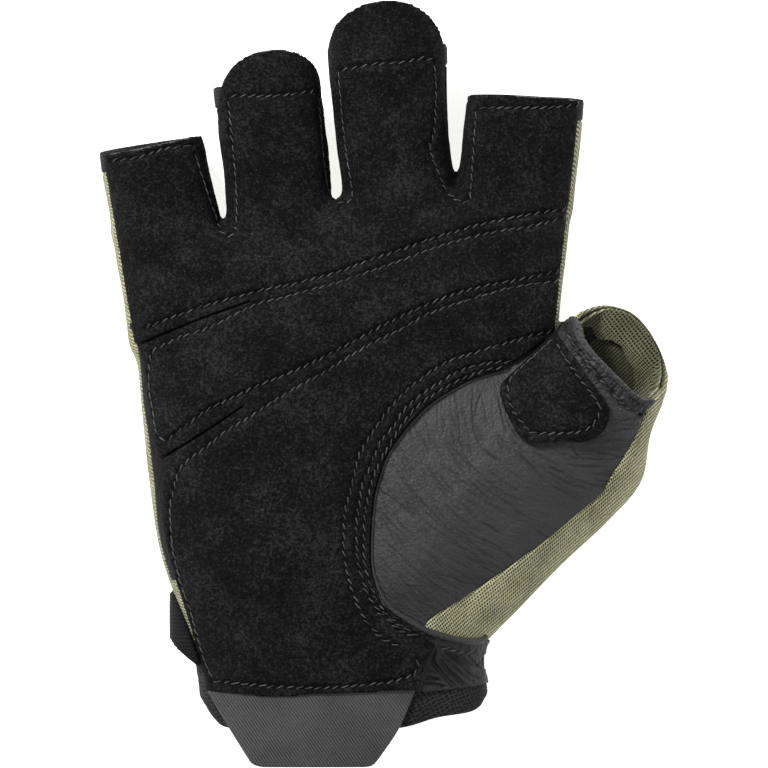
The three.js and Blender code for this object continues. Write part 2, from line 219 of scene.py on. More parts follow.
INDEX = [
    (454, 270, 550, 264, 1.1, 0),
    (457, 225, 570.5, 222, 1.07, 0),
    (459, 180, 576.5, 180, 1.0, 0.1),
    (463, 140, 581.5, 138, 0.96, 0.5),
    (467.5, 98, 584.5, 102, 0.93, 0.8),
    (471, 64, 588, 70, 0.91, 1),
]
THUMB = [
    (349.6, 518.5, 486.4, 641.5, 1.12, 0),
    (378.6, 485.5, 517, 610.5, 1.2, 0),
    (421.6, 438.5, 561, 565, 1.22, 0),
    (465, 391, 607, 522, 1.17, 0.1),
    (520, 371, 641, 482, 1.1, 0.25),
    (549, 345, 650, 436, 1.02, 0.5),
    (568, 323, 662, 405, 0.95, 0.8),
    (583, 307, 671, 383, 0.88, 1.05),
    (608, 270, 696, 345, 0.8, 1.5),
]
STRAP = [
    (170, 672, 479, 672, 1.04, 0),
    (169.5, 640, 482, 640, 1.05, 0),
    (169.5, 596, 486, 596, 1.05, 0),
    (172, 575, 490, 575, 1.05, 0),
]

# Outlines in picture pixels, in smooth stretches that meet in corners
OVAL = [
    (556, 334), (541, 343), (522, 356), (503, 368), (486, 372.5), (468, 379), (449, 389),
    (429, 402), (412, 418), (398, 436), (385, 457), (378, 477), (373, 496), (370.5, 521),
    (369, 553), (371.5, 575), (378, 594), (387, 608), (396, 615.5), (405, 622), (414, 628.5),
    (424, 635), (434, 642),
]
SUEDE_OUTLINE = [
    [(103.5, 154.5), (140, 148.5), (172, 141.5), (201.5, 134.5)],
    [(203, 134), (209, 131), (216, 124)],
    [(218, 116), (218.5, 104), (220, 91)],
    [
        (221, 87), (226, 75), (236, 63), (251, 54), (270, 50), (290, 50.5), (306, 57), (316, 67),
        (321, 80),
    ],
    [(322.5, 92), (324, 96)],
    [(324.5, 75), (325, 60), (327, 48)],
    [
        (329, 41), (335, 25.5), (346, 14), (363, 4.5), (386, 0.5), (409, 3), (427, 13), (438, 27),
        (443.5, 41),
    ],
    [(444.5, 60), (445.5, 100), (448, 130)],
    [(456, 172), (462, 125), (466, 104)],
    [(470, 94), (500, 94.5), (545, 97), (577, 100)],
    [(579.5, 103), (576, 140), (569.5, 200), (563, 250), (558, 300), (555, 331)],
    OVAL,
    [(436, 645), (430, 656), (425, 668), (420, 688)],
    [(416, 691), (365, 692.5), (325, 694.5), (278, 696.5), (238, 694.5), (206.5, 691)],
    [
        (205.5, 688), (202, 670), (194, 640), (182, 601), (172.5, 571), (166.5, 545), (162, 515),
        (162, 488), (165.5, 472),
    ],
    [(157, 452), (152.5, 425), (147.5, 396), (144.5, 370), (140, 352)],
    [(134, 342), (129, 312), (123.5, 280), (117, 240), (110, 200), (105, 170)],
]
SLITS = {
    "upper": [(128, 347.5), (142, 343), (168, 332), (200, 319), (224, 310.5), (249, 301.5)],
    "lower": [(150, 462), (164, 456.5), (190, 441), (216, 424.5), (242, 407)],
}
THENAR_OUTLINE = [
    OVAL[:-6],
    [(390, 608), (400, 614), (412, 621), (421, 626.5), (426, 628)],
    [
        (426, 621.5), (440, 612), (460, 600), (501, 572.5), (547, 539), (582, 510), (601, 494),
        (612, 475), (630, 447), (643, 420),
    ],
    [
        (648, 408), (654, 400.5), (645, 400), (635, 394), (620, 380), (602, 362), (588, 347),
        (579, 333), (574, 317),
    ],
    [(571, 312), (564, 315), (559, 326)],
]
BASE_OUTLINE = [
    [
        (128, 322), (133, 334), (138, 348), (140.5, 370), (143, 400), (146, 420), (149, 440),
        (151.5, 460), (154, 480), (155.5, 500), (157, 520), (160, 540), (165, 560), (171, 580),
    ],
    [(185, 580), (182, 560), (177, 530), (176, 480), (200, 450), (262, 420)],
    [(262, 398), (200, 410), (165, 430), (158, 390), (157, 360), (200, 336), (268, 314)],
    [(268, 290), (200, 306), (145, 322)],
]
PATCH_OUTLINE = [
    [
        (558, 333), (568, 347), (578, 360), (589, 377), (600, 391), (608, 404), (609.5, 416),
        (605, 429), (596, 438),
    ],
    [
        (596, 438), (582, 442.5), (566, 441.5), (548, 443), (532, 443.5), (520, 437), (511, 424),
        (504, 408), (499.5, 395), (501, 384), (512, 373),
    ],
    [(512, 373), (528, 359), (543, 345), (553, 334)],
]
GUSSET_OUTLINE = [
    [(424, 634), (440, 637.5), (460, 640), (478, 641), (500, 638)],
    [(500, 645), (482, 655), (481, 665), (489, 677)],
    [(500, 686), (486, 683), (475, 686), (454, 689), (430, 692), (420, 692)],
    [(414, 690), (416, 668), (420, 650)],
]
TAB_OUTLINE = [
    [(208, 688), (227, 722.5), (246, 754)],
    [(248, 757), (252, 763), (258, 766), (264, 767)],
    [(264, 767), (364, 767)],
    [(366, 767), (373, 765), (379, 758)],
    [(379, 758), (399, 728), (416, 688)],
]
CUFF_LOWER = [
    (150, 676), (190, 690), (206, 707), (215, 719), (229, 728), (280, 733), (340, 733), (401, 728),
    (436, 718), (468, 712.5), (480, 706), (486, 698), (496, 690), (530, 684),
]
THUMB_MOUTH = [
    (560, 318), (574, 314), (587, 308), (602, 304.5), (618, 306.5), (634, 313), (648, 327),
    (659, 345), (667, 364), (669.5, 377), (668, 388), (664, 400), (662, 412),
]
THUMB_RIM = [
    (566, 300), (574, 317), (579, 333), (588, 347), (602, 362), (620, 380), (635, 394), (645, 400),
    (654, 400.5), (661, 394), (680, 380),
]
BACK_ENDS = {
    "little": [(60, 158), (103, 151.5), (196, 137), (208, 135)],
    "ring": [(208, 88), (220, 87), (322, 90), (324, 90)],
    "middle": [(323, 52), (340, 50), (440, 43.5), (457, 44)],
    "index": [(457, 96), (475, 95), (575, 99), (640, 105)],
}
FINGER_GAPS = {"little_ring": (208, 226), "ring_middle": (324, 190), "middle_index": (457, 179)}

STITCH_ROWS = {
    "little_hem": [(110, 161), (137, 158), (166, 148.5), (192, 146)],
    "little_ring": [
        (195, 154), (204, 183), (213, 210), (222, 232), (231, 236), (236, 226), (237, 200),
        (235, 167), (231.5, 130), (228.5, 100),
    ],
    "ring_tip": [(230, 96), (275, 96), (316, 91)],
    "ring_middle": [
        (318, 96), (322, 145), (326, 179), (330, 195), (340, 203), (351, 200), (352, 188),
        (347, 156), (343, 123), (340, 89), (339, 71),
    ],
    "middle_tip": [(341, 70), (376, 64.5), (406, 62), (424, 58.5), (434, 61)],
    "middle_index": [
        (434, 64), (436, 89), (434, 133), (430, 148), (438, 172), (448, 193), (459, 201),
        (469, 200), (472, 176), (474, 147), (476.5, 111),
    ],
    "index_hem": [(478, 108.5), (503, 108), (543, 108), (581, 105)],
    "flex_upper_a": [
        (144, 328), (184, 313), (211, 304), (263, 290), (293, 284), (338, 272), (367, 261),
        (400, 250), (431, 239), (467, 228), (496, 221), (532, 214), (568, 208.5),
    ],
    "flex_upper_b": [
        (151, 352), (158, 348), (184, 336), (209, 328), (255, 305), (279, 299), (311, 290),
        (343, 281), (400, 261), (444, 245), (496, 232), (534, 226), (568, 216),
    ],
    "left_upper": [(151, 354), (149, 375), (150, 395), (153, 410), (156, 430), (166, 443)],
    "flex_lower_a": [
        (168, 439), (179, 431), (206, 411), (219, 404), (255, 387), (287, 374), (311, 363),
        (343, 347), (369, 333), (400, 317), (438, 300), (476, 288), (522, 279), (561, 271),
    ],
    "flex_lower_b": [
        (178, 471), (190, 459), (208, 446), (224, 433), (255, 414), (279, 398), (303, 384),
        (327, 371), (369, 345), (400, 330), (431, 313), (476, 298), (515, 287), (560, 281),
    ],
    "left_lower": [
        (178, 473), (174, 490), (170.5, 506), (171, 525), (173, 548), (181, 583), (189, 605),
        (196, 630), (204, 659), (213, 678),
    ],
    "hem": [
        (213, 681), (240, 683.5), (286, 687), (318, 688), (349, 686), (381, 683), (397, 680),
        (412, 675), (418, 667), (417, 659),
    ],
    "arc_outer": [
        (552, 332), (530, 336), (507, 343), (467, 355), (443, 364), (421, 379), (402, 395),
        (384, 416), (369, 438), (359, 456), (354, 477), (349, 496), (345, 513), (344, 537),
        (344, 553), (348, 576), (356, 600), (364, 618), (376, 632), (390, 642), (400, 646),
    ],
    "arc_middle": [
        (512, 362), (496, 362), (475, 366), (459, 371), (439, 383), (421, 395), (404, 410),
        (394, 426), (382, 440), (371, 465), (363, 483), (360, 502), (357, 521), (357, 550),
        (361, 574), (367, 592), (376, 608), (398, 629), (414, 637),
    ],
    "arc_inner": [
        (504, 367), (486, 369.5), (471, 375), (453, 383), (436, 393), (418, 406), (403, 423),
        (390, 444), (377, 468), (370, 490), (366, 508), (364, 534), (364, 556), (367, 574),
        (374, 594), (384, 611), (396, 622), (420, 637),
    ],
    "rim": [
        (568, 334), (575, 345), (584, 358), (593, 370), (603, 382), (613, 394), (622, 404),
        (631, 410), (640, 414),
    ],
    "gusset": [(440, 648), (447, 649), (456, 651.5), (464, 652.5), (474, 651.5)],
    "patch": [
        (553, 339), (541, 350), (522, 367), (512, 377), (507.5, 388), (509, 400), (515, 414),
        (523, 424), (531, 432), (547, 433.5), (569, 433), (587, 429), (596, 420), (599.5, 409),
        (596, 400), (584, 384), (573, 369), (563, 354), (556, 342),
    ],
}

# One stitch of the rows: lengths in millimetres, slant in degrees
STITCH = {"pitch": 2.1, "length": 2.4, "radius": 0.175, "slant": 21.0, "rise": 0.26, "sunk": 0.14}

# The part of the strap's tube that is kept, and its fold that shows at the left
STRAP_WINDOW = [
    (140, 590), (140, 640), (170, 640), (172, 644), (178, 650), (188, 658), (202, 668), (520, 668),
    (520, 590),
]
STRAP_FOLD = [
    (130, 580), (172, 580), (177.5, 603), (187, 630), (197.5, 658), (206, 680), (130, 680),
]
# The tape in the thumb's mouth, and the fold between the thumb and the index finger
TAPE_OUTLINE = [(571, 317), (590, 321), (601, 335), (595, 346), (582, 339), (575, 330)]
THUMB_CORNER = (561, 300)


class Skin:
    """A triangle surface: points, triangles, normals, and each point's distance from the edge."""

    def __init__(self, points, triangles, normal=None, edge=None):
        self.points = points
        self.triangles = triangles
        self.normal = normal
        self.edge = edge

    def with_normals(self):
        """The same skin, each point's normal worked out from the triangles round it."""
        a, b, c = (self.points[self.triangles[:, k]] for k in range(3))
        face = np.cross(b - a, c - a)
        total = np.zeros_like(self.points)
        for k in range(3):
            for axis in range(3):
                total[:, axis] += np.bincount(self.triangles[:, k], face[:, axis], len(total))
        self.normal = total / np.maximum(np.linalg.norm(total, axis=1, keepdims=True), 1e-12)
        return self

    def pairs(self):
        """Each triangle's three edges, the first edges of all triangles first."""
        a, b, c = self.triangles.T
        return np.column_stack([np.concatenate([a, b, c]), np.concatenate([b, c, a])])

    def relaxed(self, shares):
        """Its points, moved by each share in turn of their way to their neighbours' middle."""
        pairs = self.pairs()
        pairs = np.vstack([pairs, pairs[:, ::-1]])
        count = np.maximum(np.bincount(pairs[:, 0], minlength=len(self.points)), 1)[:, None]
        points = self.points.copy()
        for share in shares:
            sums = [np.bincount(pairs[:, 0], points[pairs[:, 1], k], len(points)) for k in range(3)]
            points += share * (np.column_stack(sums) / count - points)
        return points

    def smoothed(self, rounds, strength=0.5):
        """Relaxed without shrinking much."""
        shares = [strength if turn % 2 == 0 else -0.96 * strength for turn in range(rounds)]
        return Skin(self.relaxed(shares), self.triangles).with_normals()

    def with_points_between(self, a, b, share):
        """Its points followed by new ones a share of the way from points a to points b."""
        share = np.reshape(share, (-1, 1)) * np.ones((len(a), 1))
        points = np.vstack([self.points, self.points[a] * (1 - share) + self.points[b] * share])
        fresh = self.normal[a] * (1 - share) + self.normal[b] * share
        fresh /= np.maximum(np.linalg.norm(fresh, axis=1, keepdims=True), 1e-12)
        edge = None
        if self.edge is not None:
            between = self.edge[a] * (1 - share[:, 0]) + self.edge[b] * share[:, 0]
            edge = np.concatenate([self.edge, between])
        return Skin(points, self.triangles, np.vstack([self.normal, fresh]), edge)

    def trimmed(self, triangles):
        """Only the given triangles, and the points that they use."""
        used, compact = np.unique(triangles, return_inverse=True)
        edge = None if self.edge is None else self.edge[used]
        return Skin(self.points[used], compact.reshape(-1, 3), self.normal[used], edge)

    def cut(self, field):
        """The part where the field is below zero, cut cleanly along its zero line."""
        inside = field < 0
        hits = inside[self.triangles].sum(1)
        parts = [self.triangles[hits == 3]]
        crossed = []
        base = len(self.points)
        for wanted, odd_is_inside in ((1, True), (2, False)):
            mixed = self.triangles[hits == wanted]
            first = np.argmax(inside[mixed] == odd_is_inside, axis=1)
            rows = np.arange(len(mixed))
            odd, nxt, prv = (mixed[rows, (first + k) % 3] for k in range(3))
            crossed += [np.column_stack([odd, nxt]), np.column_stack([odd, prv])]
            one, two = base + rows, base + len(rows) + rows
            base += 2 * len(rows)
            if odd_is_inside:
                parts.append(np.column_stack([odd, one, two]))
            else:
                parts += [np.column_stack([one, nxt, prv]), np.column_stack([one, prv, two])]
        ends = np.sort(np.vstack(crossed), axis=1)
        unique, place = np.unique(ends, axis=0, return_inverse=True)
        a, b = unique.T
        whole = Skin(self.points, self.triangles, self.normal, -field)
        whole = whole.with_points_between(a, b, field[a] / (field[a] - field[b]))
        count = len(self.points)
        renamed = np.concatenate([np.arange(count), count + place.reshape(-1)])
        return whole.trimmed(renamed[np.vstack(parts)])

    def largest(self):
        """The largest connected stretch of the skin."""
        label = np.arange(len(self.points))
        while True:
            low = label[self.triangles].min(1)
            fresh = label.copy()
            for k in range(3):
                np.minimum.at(fresh, self.triangles[:, k], low)
            fresh = fresh[fresh]
            if (fresh == label).all():
                break
            label = fresh
        kinds, size = np.unique(label[self.triangles[:, 0]], return_counts=True)
        return self.trimmed(self.triangles[label[self.triangles[:, 0]] == kinds[size.argmax()]])

    def refined(self, choose):
        """Halves the edges that choose picks by their ends and how many triangles share each."""
        unique, place, count = np.unique(
            np.sort(self.pairs(), axis=1), axis=0, return_inverse=True, return_counts=True
        )
        chosen = choose(self, unique, count)
        middle = np.full(len(unique), -1)
        middle[chosen] = len(self.points) + np.arange(chosen.sum())
        made = self.with_points_between(*unique[chosen].T, 0.5)
        mids = middle[place.reshape(3, -1)].T
        split = (mids >= 0).sum(1)
        parts = [self.triangles[split == 0]]
        for wanted in (1, 2, 3):
            rows = np.flatnonzero(split == wanted)
            marked = mids[rows] >= 0
            if wanted == 1:
                first = marked.argmax(1)
            elif wanted == 2:
                first = ((~marked).argmax(1) + 1) % 3
            else:
                first = np.zeros(len(rows), int)
            a, b, c = (self.triangles[rows, (first + k) % 3] for k in range(3))
            ab, bc, ca = (mids[rows, (first + k) % 3] for k in range(3))
            if wanted == 1:
                faces = [(a, ab, c), (ab, b, c)]
            elif wanted == 2:
                faces = [(ab, b, bc), (a, ab, bc), (a, bc, c)]
            else:
                faces = [(a, ab, ca), (ab, b, bc), (ca, bc, c), (ab, bc, ca)]
            parts += [np.column_stack(face) for face in faces]
        made.triangles = np.vstack(parts)
        return made

    def border(self):
        """The edges that only one triangle has, in that triangle's direction."""
        pairs = self.pairs()
        key = pairs[:, 0].astype(np.int64) * len(self.points) + pairs[:, 1]
        back = pairs[:, 1].astype(np.int64) * len(self.points) + pairs[:, 0]
        return pairs[~np.isin(key, back)]


def every_edge(skin, ends, count):
    return np.ones(len(ends), bool)


def border_edges(skin, ends, count):
    return count == 1


def distance_to_line(points, line, closed=False):
    """Distance in the plan from each point to a line."""
    start = line if closed else line[:-1]
    end = np.roll(line, -1, axis=0) if closed else line[1:]
    x, y = np.ascontiguousarray(points[:, 0]), np.ascontiguousarray(points[:, 1])
    best = np.full(len(points), np.inf)
    for (ax, ay), (bx, by) in zip(start, end):
        wx, wy = bx - ax, by - ay
        long = wx * wx + wy * wy
        if long == 0:
            continue
        px, py = x - ax, y - ay
        share = np.clip((px * wx + py * wy) / long, 0, 1)
        px -= share * wx
        py -= share * wy
        np.minimum(best, px * px + py * py, out=best)
    return np.sqrt(best)


def inside_outline(points, line):
    """Whether each point lies inside a closed line in the plan."""
    x, y = points[:, 0], points[:, 1]
    odd = np.zeros(len(points), bool)
    ends = np.roll(line, -1, axis=0)
    for (ax, ay), (bx, by) in zip(line, ends):
        if ay == by:
            continue
        crosses = (ay > y) != (by > y)
        odd ^= crosses & (x < (bx - ax) * (y - ay) / (by - ay) + ax)
    return odd


def within(points, line):
    """Below zero inside an outline, in metres."""
    gap = distance_to_line(points, line, closed=True)
    return np.where(inside_outline(points, line), -gap, gap)


def above(points, height):
    """Below zero above a height in millimetres."""
    return height * MM - points[:, 2]


def new_object(name, skin):
    mesh = bpy.data.meshes.new(name)
    mesh.from_pydata(skin.points.tolist(), [], skin.triangles.tolist())
    mesh.update()
    mesh.polygons.foreach_set("use_smooth", [True] * len(mesh.polygons))
    made = bpy.data.objects.new(name, mesh)
    bpy.context.collection.objects.link(made)
    return made


def skin_of(made):
    mesh = made.data
    mesh.calc_loop_triangles()
    points = np.empty(len(mesh.vertices) * 3)
    mesh.vertices.foreach_get("co", points)
    triangles = np.empty(len(mesh.loop_triangles) * 3, np.int32)
    mesh.loop_triangles.foreach_get("vertices", triangles)
    return Skin(points.reshape(-1, 3), triangles.reshape(-1, 3))


# The hand's form

# How round the sections are above and how square below
ROUNDNESS = 2.3
SQUARENESS = 3.2
SECTION_POINTS = 96

# How often and how strongly the ball of the thumb is smoothed
BALL_ROUNDS = 260
BALL_STRENGTH = 0.8


def loft(rows, height, lift):
    """A closed tube through sections, flattened where it lies."""
    table = smooth_rows(rows, 7)
    turn = np.linspace(0, 2 * math.pi, SECTION_POINTS, endpoint=False)
    power = np.where(np.sin(turn) >= 0, 2 / ROUNDNESS, 2 / SQUARENESS)
    wide = np.sign(np.cos(turn)) * np.abs(np.cos(turn)) ** power
    tall = np.abs(np.sin(turn)) ** power
    rings = []
    for row in table:
        left, right = spots([row[:2], row[2:4]])
        middle, reach = (left + right) / 2, (right - left) / 2
        half = row[4] * height / 2 * MM
        base = row[5] * lift * MM
        lower = np.maximum(base + half - (half + MM) * tall, base)
        z = np.where(np.sin(turn) >= 0, base + half + half * tall, lower)
        rings.append(np.column_stack([middle + wide[:, None] * reach, z]))
    points = np.vstack(rings)
    n = SECTION_POINTS
    around = np.arange(n)
    nxt = (around + 1) % n
    triangles = []
    for r in range(len(rings) - 1):
        a, b = r * n + around, r * n + nxt
        triangles += [np.column_stack([a, b, b + n]), np.column_stack([a, b + n, a + n])]
    far = (len(rings) - 1) * n
    fan = np.arange(1, n - 1)
    triangles.append(np.column_stack([0 * fan, fan + 1, fan]))
    triangles.append(np.column_stack([0 * fan + far, far + fan, far + fan + 1]))
    return Skin(points, np.vstack(triangles))


def joined(skins):
    base = np.cumsum([0] + [len(s.points) for s in skins[:-1]])
    return Skin(
        np.vstack([s.points for s in skins]),
        np.vstack([s.triangles + b for s, b in zip(skins, base)]),
    )


def fused(skin, voxel):
    """Closed shapes that overlap made into one skin, its triangles a voxel in size."""
    rough = new_object("form", skin)
    bpy.ops.object.select_all(action="DESELECT")
    bpy.context.view_layer.objects.active = rough
    rough.select_set(True)
    fuse = rough.modifiers.new("fuse", "REMESH")
    fuse.mode = "VOXEL"
    fuse.voxel_size = voxel * MM
    bpy.ops.object.modifier_apply(modifier=fuse.name)
    made = skin_of(rough)
    bpy.data.objects.remove(rough)
    return made


def hand_form():
    """Palm, web, fingers and thumb fused into one smooth skin."""
    limbs = [
        loft(PALM, PALM_HEIGHT, BACK_LIFT),
        loft(WEB, PALM_HEIGHT, 0),
        loft(THUMB, THUMB_HEIGHT, THUMB_LIFT),
    ]
    limbs += [loft(rows, FINGER_HEIGHT, TIP_LIFT) for rows in (LITTLE, RING, MIDDLE, INDEX)]
    return fused(joined(limbs), VOXEL).smoothed(30, 0.6)


def near_slits(skin, ends, count):
    """Picks the short edges round the slits, so that the slits' own narrow shapes come out."""
    middle = skin.points[ends].mean(1)
    gap = np.min([distance_to_line(middle, spots(line)) for line in SLITS.values()], axis=0)
    return (gap < FINE_BY_SLITS * MM) & (middle[:, 2] > SEAM_HEIGHT * MM)


def relaxed_ball(skin):
    """The ball of the thumb without the ridges that its limbs leave where they meet."""
    flat = spots(outline(THENAR_OUTLINE))
    top = np.flatnonzero(skin.points[:, 2] > (SEAM_HEIGHT + 1) * MM)
    depth = np.zeros(len(skin.points))
    depth[top] = np.clip(-within(skin.points[top], flat) / (BALL_RUN_IN * MM), 0, 1)
    near = (depth[skin.triangles] > 0).any(1)
    used, compact = np.unique(skin.triangles[near], return_inverse=True)
    ball = Skin(skin.points[used], compact.reshape(-1, 3))
    points = skin.points.copy()
    points[used] = ball.relaxed([BALL_STRENGTH * depth[used, None]] * BALL_ROUNDS)
    return Skin(points, skin.triangles).with_normals()


FORM = relaxed_ball(hand_form()).refined(near_slits).refined(near_slits)

# The lens and the sensor in millimetres, the height in metres where the picture's scale holds, and
# the pixel that the camera looks down on
CAMERA = {"lens": 400.0, "sensor": 36.0, "focus": 0.014, "x": 384.0, "y": 384.0}
CAMERA_DISTANCE = PICTURE_SIZE * (ACROSS + DOWN) / 2 * CAMERA["lens"] / CAMERA["sensor"]


def tree_of(skins):
    whole = joined(skins)
    return BVHTree.FromPolygons(whole.points.tolist(), whole.triangles.tolist())


def dropped(tree, points):
    """Each place in the plan set down on the surface below it, with the surface's normal."""
    down = Vector((0, 0, -1))
    places, normals = [], []
    for x, y in points:
        hit, normal, _, _ = tree.ray_cast(Vector((x, y, 1)), down)
        places.append(hit if hit else Vector((x, y, CAMERA["focus"])))
        normals.append(normal if normal else Vector((0, 0, 1)))
    return places, normals


FORM_TREE = tree_of([FORM])


def seen(pixels, above_form=1.2):
    """Places in the picture laid on the form where the camera sees them, in the plan in metres."""
    flat = spots(pixels)
    middle = spots([(CAMERA["x"], CAMERA["y"])])
    heights = np.array([place.z for place in dropped(FORM_TREE, flat)[0]]) + above_form * MM
    nearer = 1 - (heights - CAMERA["focus"]) / CAMERA_DISTANCE
    return middle + (flat - middle) * nearer[:, None]


# Outlines and rows in metres
LINES = {
    "suede": seen(outline(SUEDE_OUTLINE)),
    "base": seen(outline(BASE_OUTLINE)),
    "thenar": seen(outline(THENAR_OUTLINE)),
    "patch": seen(outline(PATCH_OUTLINE), 3.5),
    "gusset": seen(outline(GUSSET_OUTLINE)),
    "tab": seen(outline(TAB_OUTLINE)),
}
ROWS = {name: seen(smooth_rows(row, 4)) for name, row in STITCH_ROWS.items()}
ON_TOP = FORM.points[:, 2] > (SEAM_HEIGHT - 2) * MM


def plan_field(line):
    """Below zero inside an outline, for the form's points on its upper part only."""
    field = np.full(len(FORM.points), 10 * MM)
    field[ON_TOP] = within(FORM.points[ON_TOP], line)
    return field


PLANS = {name: plan_field(line) for name, line in LINES.items()}


def past(points, line, side):
    """Below zero on one side of an open line that crosses the whole form: side is 1 or -1."""
    way = np.diff(line, axis=0)
    best = np.full(len(points), np.inf)
    sign = np.zeros(len(points))
    for start, step in zip(line[:-1], way):
        part = points[:, :2] - start
        share = np.clip((part @ step) / (step @ step), 0, 1)
        gap = part - share[:, None] * step
        size = np.linalg.norm(gap, axis=1)
        turn = step[0] * part[:, 1] - step[1] * part[:, 0]
        closer = size < best
        best = np.where(closer, size, best)
        sign = np.where(closer, np.sign(turn), sign)
    return -side * sign * best


CUFF_LINE = seen(smooth_rows(CUFF_LOWER, 6))
MOUTH_LINE = spots(smooth_rows(THUMB_MOUTH, 6))
RIM_LINE = seen(smooth_rows(THUMB_RIM, 6))
THUMB_SEAM_LINE = spots([(575, 280), (556, 330), (490, 420), (430, 520), (417, 600), (417, 720)])


def front(name, margin=0.0):
    """Below zero on the form's upper part inside one outline grown by a margin in millimetres."""
    return np.maximum(PLANS[name] - margin * MM, above(FORM.points, SEAM_HEIGHT - margin))


def rounded(edge, radius):
    """How far an edge falls away from the flat, as a share of its radius in millimetres."""
    share = np.clip(1 - edge / (radius * MM), 0, 1)
    return 1 - np.sqrt(1 - share**2)


UP = np.array([0.0, 0.0, 1.0])

# The outer surfaces of the sewn pieces, for the stitches to lie on
TOPS = []


def facing_up(skin):
    return np.clip(skin.normal[:, 2:] * 1.6, 0, 1)


def lifted(skin, top, side):
    """The skin's points moved up where it faces up, and outward where it is a side."""
    return skin.points + (skin.normal * side + UP * (top - side) * facing_up(skin)) * MM


def bump_noise(points, size, seed, octaves=3):
    """Soft noise from -1 to 1 over the points, with features of a size in millimetres."""
    offset = Vector((seed * 7.3, seed * 3.1, seed * 5.7))
    scale = 1 / (size * MM)
    return np.array([noise.fractal(Vector(p) * scale + offset, 1.0, 2.0, octaves) for p in points])


def row_gap(points, names):
    """Distance in millimetres to the nearest of some stitched rows."""
    return np.min([distance_to_line(points, ROWS[name]) for name in names], axis=0) / MM


def creased(points, creases):
    """Depth of creases that run out at both ends: rows of a line, a width and a depth."""
    total = np.zeros(len(points))
    for line, width, depth in creases:
        reach = 3 * width * MM
        near = np.flatnonzero(
            (points[:, 0] > line[:, 0].min() - reach)
            & (points[:, 0] < line[:, 0].max() + reach)
            & (points[:, 1] > line[:, 1].min() - reach)
            & (points[:, 1] < line[:, 1].max() + reach)
        )
        if len(near) == 0:
            continue
        here = points[near]
        gap = distance_to_line(here, line) / MM
        way = line[-1] - line[0]
        share = np.clip((here[:, :2] - line[0]) @ way / (way @ way), 0, 1)
        taper = np.sqrt(np.sin(math.pi * (0.04 + 0.92 * share)))
        total[near] = np.maximum(total[near], depth * taper * np.exp(-((gap / width) ** 2)))
    return total


def outward_ways(points, normal, border):
    """For each border point, the way out of the surface across its border."""
    a, b = border.T
    out = np.cross(points[b] - points[a], normal[a])
    total = np.zeros_like(points)
    for end in (a, b):
        np.add.at(total, end, out)
    return total / np.maximum(np.linalg.norm(total, axis=1, keepdims=True), 1e-12)


def same_places(first, second):
    """For border points of one skin, the border points of another that lie at the same places."""
    orders = []
    for skin in (first, second):
        index = np.unique(skin.border())
        key = np.round(skin.points[index] * 1e8).astype(np.int64)
        orders.append(index[np.lexsort(key.T)])
    match = np.full(len(first.points), -1)
    match[orders[0]] = orders[1]
    return match


def wall_of(border, match):
    """The triangles from a skin's border to the points of its lining that match it."""
    a, b = border.T
    return np.vstack([np.column_stack([b, a, match[a]]), np.column_stack([b, match[a], match[b]])])


def fall(points, node):
    """How far a fabric that hangs down a side has gone down, across and along the hand."""
    down = np.abs(points[:, 2] - FALL_HEIGHT * MM)
    if node.startswith("thumb"):
        return -THUMB_SLANT * down, THUMB_SLANT * down
    if node.startswith(("binding", "gusset")):
        return down, 0 * down
    return -np.clip(points[:, 0] / (HALF_HAND * MM), -1, 1) * down, 0 * down


def sewn(
    node, field, finish, thickness, top=0.0, side=0.0, radius=0.4, levels=0,
    relief=None, lean=0.0, rim=None, inside=0.0,
):
    """A piece cut from the form, raised, shaped and given its thickness, in place of its CAD node.

    Lengths are in millimetres. The top and the sides are raised apart, the edge is rounded, relief
    gives each point's height and shade, the shade darkening its colour (painted shade in grooves,
    creases and pleats, and a darker band round the thumb's mouth), lean draws the edge in, rim
    names the finish of the edge, and inside is the shade of the lining: partly the knit's darker
    reverse side, partly painted shade in the hollow.
    """
    coarse = FORM.cut(field).largest()
    fine, lining = coarse, coarse
    for _ in range(levels):
        fine = fine.refined(every_edge)
        lining = lining.refined(border_edges)
    height, shade = relief(fine) if relief else np.zeros((2, len(fine.points)))
    facing = facing_up(fine)
    way = fine.normal * (1 - facing) + UP * facing
    way /= np.linalg.norm(way, axis=1, keepdims=True)
    drop = rounded(fine.edge, radius) * radius
    outer = lifted(fine, top, side) + way * ((height - drop) * MM)[:, None]
    border = fine.border()
    outer -= outward_ways(fine.points, fine.normal, border) * lean * MM
    inner = lifted(lining, top, side) - lining.normal * thickness * MM
    wall = wall_of(border, same_places(fine, lining) + len(outer))
    points = np.vstack([outer, inner])
    triangles = np.vstack([fine.triangles, lining.triangles[:, ::-1] + len(outer), wall])
    made = new_object("sewn_" + node, Skin(points, triangles))
    made.data.materials.append(FINISHES[finish])
    if rim:
        made.data.materials.append(FINISHES[rim])
        kinds = np.zeros(len(triangles), np.int32)
        kinds[-len(wall) :] = 1
        made.data.polygons.foreach_set("material_index", kinds)
    across, along = fall(points, node)
    # The shade attribute darkens the colour: painted shade in grooves, creases, pleats and the
    # hollow lining
    shades = np.concatenate([shade, np.full(len(inner), inside)])
    for name, value in (("shade", shades), ("fall_across", across), ("fall_along", along)):
        attribute = made.data.attributes.new(name, "FLOAT", "POINT")
        attribute.data.foreach_set("value", value.astype(np.float32))
    TOPS.append(Skin(outer, fine.triangles))
    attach(made, "root")
    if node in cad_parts:
        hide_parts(node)
    return made


# Finishes


class Wire:
    """A number that changes over the surface, for use in plain arithmetic."""

    def __init__(self, finish, socket):
        self.finish = finish
        self.socket = socket

    def math(self, operation, *values):
        inputs = dict(enumerate([self, *values]))
        return self.finish.node("ShaderNodeMath", {"operation": operation}, inputs)

    def __add__(self, other):
        return self.math("ADD", other)

    def __mul__(self, other):
        return self.math("MULTIPLY", other)

    def __sub__(self, other):
        return self.math("SUBTRACT", other)

    def __rsub__(self, other):
        return (self * -1) + other

    def clamped(self, low, high):
        return self.math("MAXIMUM", low).math("MINIMUM", high)


